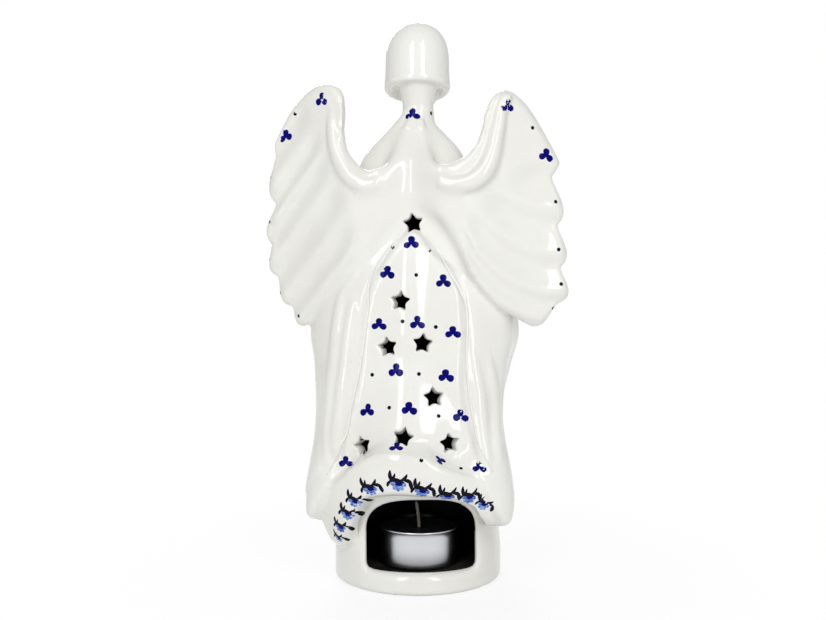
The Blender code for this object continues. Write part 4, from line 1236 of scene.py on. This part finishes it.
def aluminium_finish():
    """Thin pressed aluminium with painted shade: near-black away from the opening, deeper in the hollow, and
    darker towards the cup's bottom.
    """
    finish = Finish("cup_aluminium", (0.66, 0.67, 0.70), 0.32, Metallic=1.0)
    split = finish.node("ShaderNodeSeparateXYZ", Vector=finish.place)
    depth = Value(finish.tree, split.outputs["Y"]) * 0.988 - Value(finish.tree, split.outputs["X"]) * 0.156
    # painted shade: black beyond the cup's front along the view into the opening, and darker low on the cup
    back_shade = depth.ramp(-0.0290, -0.0180)
    low_shade_tone = finish.blend(finish.height().ramp(0.0090, 0.0190), (0.26, 0.26, 0.26), (0.66, 0.67, 0.70))
    finish.set("Base Color", finish.blend(back_shade, low_shade_tone, (0.006, 0.006, 0.006)))
    rub = finish.noise(160.0, 3.0)
    finish.set("Roughness", 0.24 + rub * 0.12)
    finish.bump(finish.noise(90.0, 2.0), 0.00012, 0.35)
    return finish.material


def wax_finish():
    """Wax painted near-black as painted shade deep in the hollow, and glossy."""
    finish = Finish("paraffin", (0.018, 0.017, 0.017), 0.35, Specular_IOR_Level=0.2)
    finish.bump(finish.noise(300.0, 3.0), 0.0001, 0.5)
    return finish.material


def wick_finish():
    finish = Finish("cotton_wick", (0.20, 0.19, 0.18), 0.85)
    finish.set("Base Color", finish.blend(finish.noise(1500.0, 2.0), (0.14, 0.13, 0.12), (0.30, 0.28, 0.26)))
    finish.bump(finish.noise(2600.0, 2.0), 0.0001, 0.7)
    return finish.material


def clip_finish():
    finish = Finish("tinplate", (0.60, 0.60, 0.61), 0.35, Metallic=1.0)
    finish.set("Roughness", 0.3 + finish.noise(300.0, 2.0) * 0.2)
    return finish.material


# Tealight


def make_tealight():
    low, high = (np.array(corner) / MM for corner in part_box("tealight_cup"))
    centre = (low + high) / 2
    place = (centre[0], centre[1], low[2])
    outer = (high[0] - low[0]) / 2
    top = high[2] - low[2]
    roll = CUP_RIM / 2
    body = outer - CUP_RIM
    inner = body - CUP_WALL * 0.5
    profile = [(0.0, 0.35), (body - 2.2, 0.35), (body - 1.9, 0.0), (body - 1.0, 0.0)]
    profile += [(body - 1.0 + math.sin(a), 1.0 - math.cos(a)) for a in np.linspace(0.25, math.pi / 2, 5)]
    profile += [(body, 3.0), (body, 8.0), (body, 13.0), (body, top - CUP_RIM - 0.3)]
    for a in np.linspace(-1.3, math.pi * 0.92, 12):
        profile.append((outer - roll + roll * math.cos(a), top - roll + roll * math.sin(a)))
    profile += [(inner, top - CUP_RIM - 0.4), (inner, 1.6), (inner - 0.9, 0.6), (0.0, 0.6)]
    cup = place_mesh("tealight_cup_shell", turned(profile, 160, place=place))
    cup.data.materials.append(aluminium_finish())
    wax_top = top - WAX_BELOW_RIM
    edge = inner - 0.1
    profile = [(0.0, 0.65), (edge - 1.2, 0.65), (edge, 1.8), (edge, wax_top + 0.45)]
    profile += [(edge - 0.5, wax_top + 0.1), (edge - 1.6, wax_top - 0.15), (edge - 5.0, wax_top - 0.25)]
    profile += [(3.2, wax_top - 0.3), (1.6, wax_top - 0.1), (0.9, wax_top + 0.25), (0.0, wax_top + 0.3)]
    wax = place_mesh("wax_disc", turned(profile, 96, place=place))
    wax.data.materials.append(wax_finish())
    foot = CUP_WALL + SEAT_GAP + CLIP_PLATE + SEAT_GAP
    tip = top + WICK_ABOVE_RIM
    bend = (-WICK_LEAN * 0.3, 0, (wax_top + tip) / 2)
    path = spline(((0, 0, foot), (0, 0, wax_top), bend, (-WICK_LEAN, 0, tip)), 70)
    lean = np.linspace(0, 2 * np.pi, 24, endpoint=False)
    rings = []
    for step, point in enumerate(path):
        thick = WICK_DIAMETER / 2 * (1.0 if step < 68 else 0.7)
        braid = thick * (1 - 0.13 + 0.13 * np.cos(3 * lean + step * 0.45) * np.cos(3 * lean - step * 0.45))
        ring = [point[0] + braid * np.cos(lean), point[1] + braid * np.sin(lean), np.full(24, point[2])]
        rings.append(np.stack(ring, 1) + place)
    wick = place_mesh("braided_wick", skin(rings))
    wick.data.materials.append(wick_finish())
    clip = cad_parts["wick_clip"]
    clip.data.materials.clear()
    clip.data.materials.append(clip_finish())
    return cup, wax, wick


# Table, backdrop and light


def make_stage():
    bm = bmesh.new()
    bmesh.ops.create_grid(bm, x_segments=8, y_segments=8, size=6.0)
    mesh = bpy.data.meshes.new("table")
    bm.to_mesh(mesh)
    bm.free()
    table = bpy.data.objects.new("table", mesh)
    bpy.context.scene.collection.objects.link(table)
    finish = Finish("table_white", (0.9, 0.9, 0.9), 0.6)
    tree = finish.tree
    white = finish.node("ShaderNodeEmission", Color=(1.0, 1.0, 1.0, 1.0), Strength=1.0)
    ray = finish.node("ShaderNodeLightPath")
    looked_at = Value(tree, ray.outputs["Is Camera Ray"]) + Value(tree, ray.outputs["Is Glossy Ray"])
    looked_at = looked_at + Value(tree, ray.outputs["Is Transmission Ray"])
    choice = tree.nodes.new("ShaderNodeMixShader")
    far = finish.node("ShaderNodeVectorMath", {"operation": "LENGTH"}, Vector=finish.place)
    away = Value(tree, far.outputs["Value"]).ramp(0.04, 0.20)
    tree.links.new((looked_at * (TABLE_NEAR + away * (TABLE_FAR - TABLE_NEAR))).socket, choice.inputs[0])
    tree.links.new(finish.shader.outputs[0], choice.inputs[1])
    tree.links.new(white.outputs[0], choice.inputs[2])
    tree.links.new(choice.outputs[0], tree.nodes["Material Output"].inputs["Surface"])
    table.data.materials.append(finish.material)


def make_world():
    world = bpy.data.worlds.new("studio")
    world.use_nodes = True
    tree = world.node_tree
    backdrop = tree.nodes["Background"]
    backdrop.inputs["Color"].default_value = (1.0, 1.0, 1.0, 1.0)
    ray = tree.nodes.new("ShaderNodeLightPath")
    strength = ROOM_LIGHT + Value(tree, ray.outputs["Is Camera Ray"]) * (1.0 - ROOM_LIGHT)
    strength = strength + Value(tree, ray.outputs["Is Glossy Ray"]) * (ROOM_SEEN_IN_GLAZE - ROOM_LIGHT)
    strength = strength + Value(tree, ray.outputs["Is Transmission Ray"]) * (1.0 - ROOM_LIGHT)
    tree.links.new(strength.socket, backdrop.inputs["Strength"])
    bpy.context.scene.world = world
    bpy.context.scene.view_settings.view_transform = "Standard"


def softbox(name, place, size, watts, aim):
    data = bpy.data.lights.new(name, "AREA")
    data.shape = "RECTANGLE"
    data.size, data.size_y = size
    data.energy = watts
    lamp = bpy.data.objects.new(name, data)
    lamp.location = place
    lamp.rotation_euler = (Vector(aim) - Vector(place)).to_track_quat("-Z", "Y").to_euler()
    bpy.context.scene.collection.objects.link(lamp)


def main():
    make_camera()
    figure = cast_figure()
    glaze = glaze_finish()
    surface = cut_figure(figure, glaze, hollow_shade_finish())
    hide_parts("angel_body")
    cobalt = paint_finish("cobalt_paint", COBALT, COBALT_THIN, 0.62)
    wash = paint_finish("wash_blue_paint", WASH, WASH_LIGHT, 0.5)
    black = paint_finish("black_paint", INK, INK_THIN, 0.66)
    motifs = paint_motifs(surface, cobalt, wash, black) + [cloak_edges(surface, glaze)]
    cup, wax, wick = make_tealight()
    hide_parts("tealight_cup")
    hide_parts("tealight_wax")
    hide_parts("wick")
    for piece, slot in [(p, "white_glaze") for p in [figure] + motifs] + [
        (cup, "cup_metal"), (wax, "paraffin"), (wick, "cotton_wick"),
    ]:
        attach(piece, "root")
    make_stage()
    make_world()
    for lamp in SOFTBOXES:
        softbox(*lamp)


main()
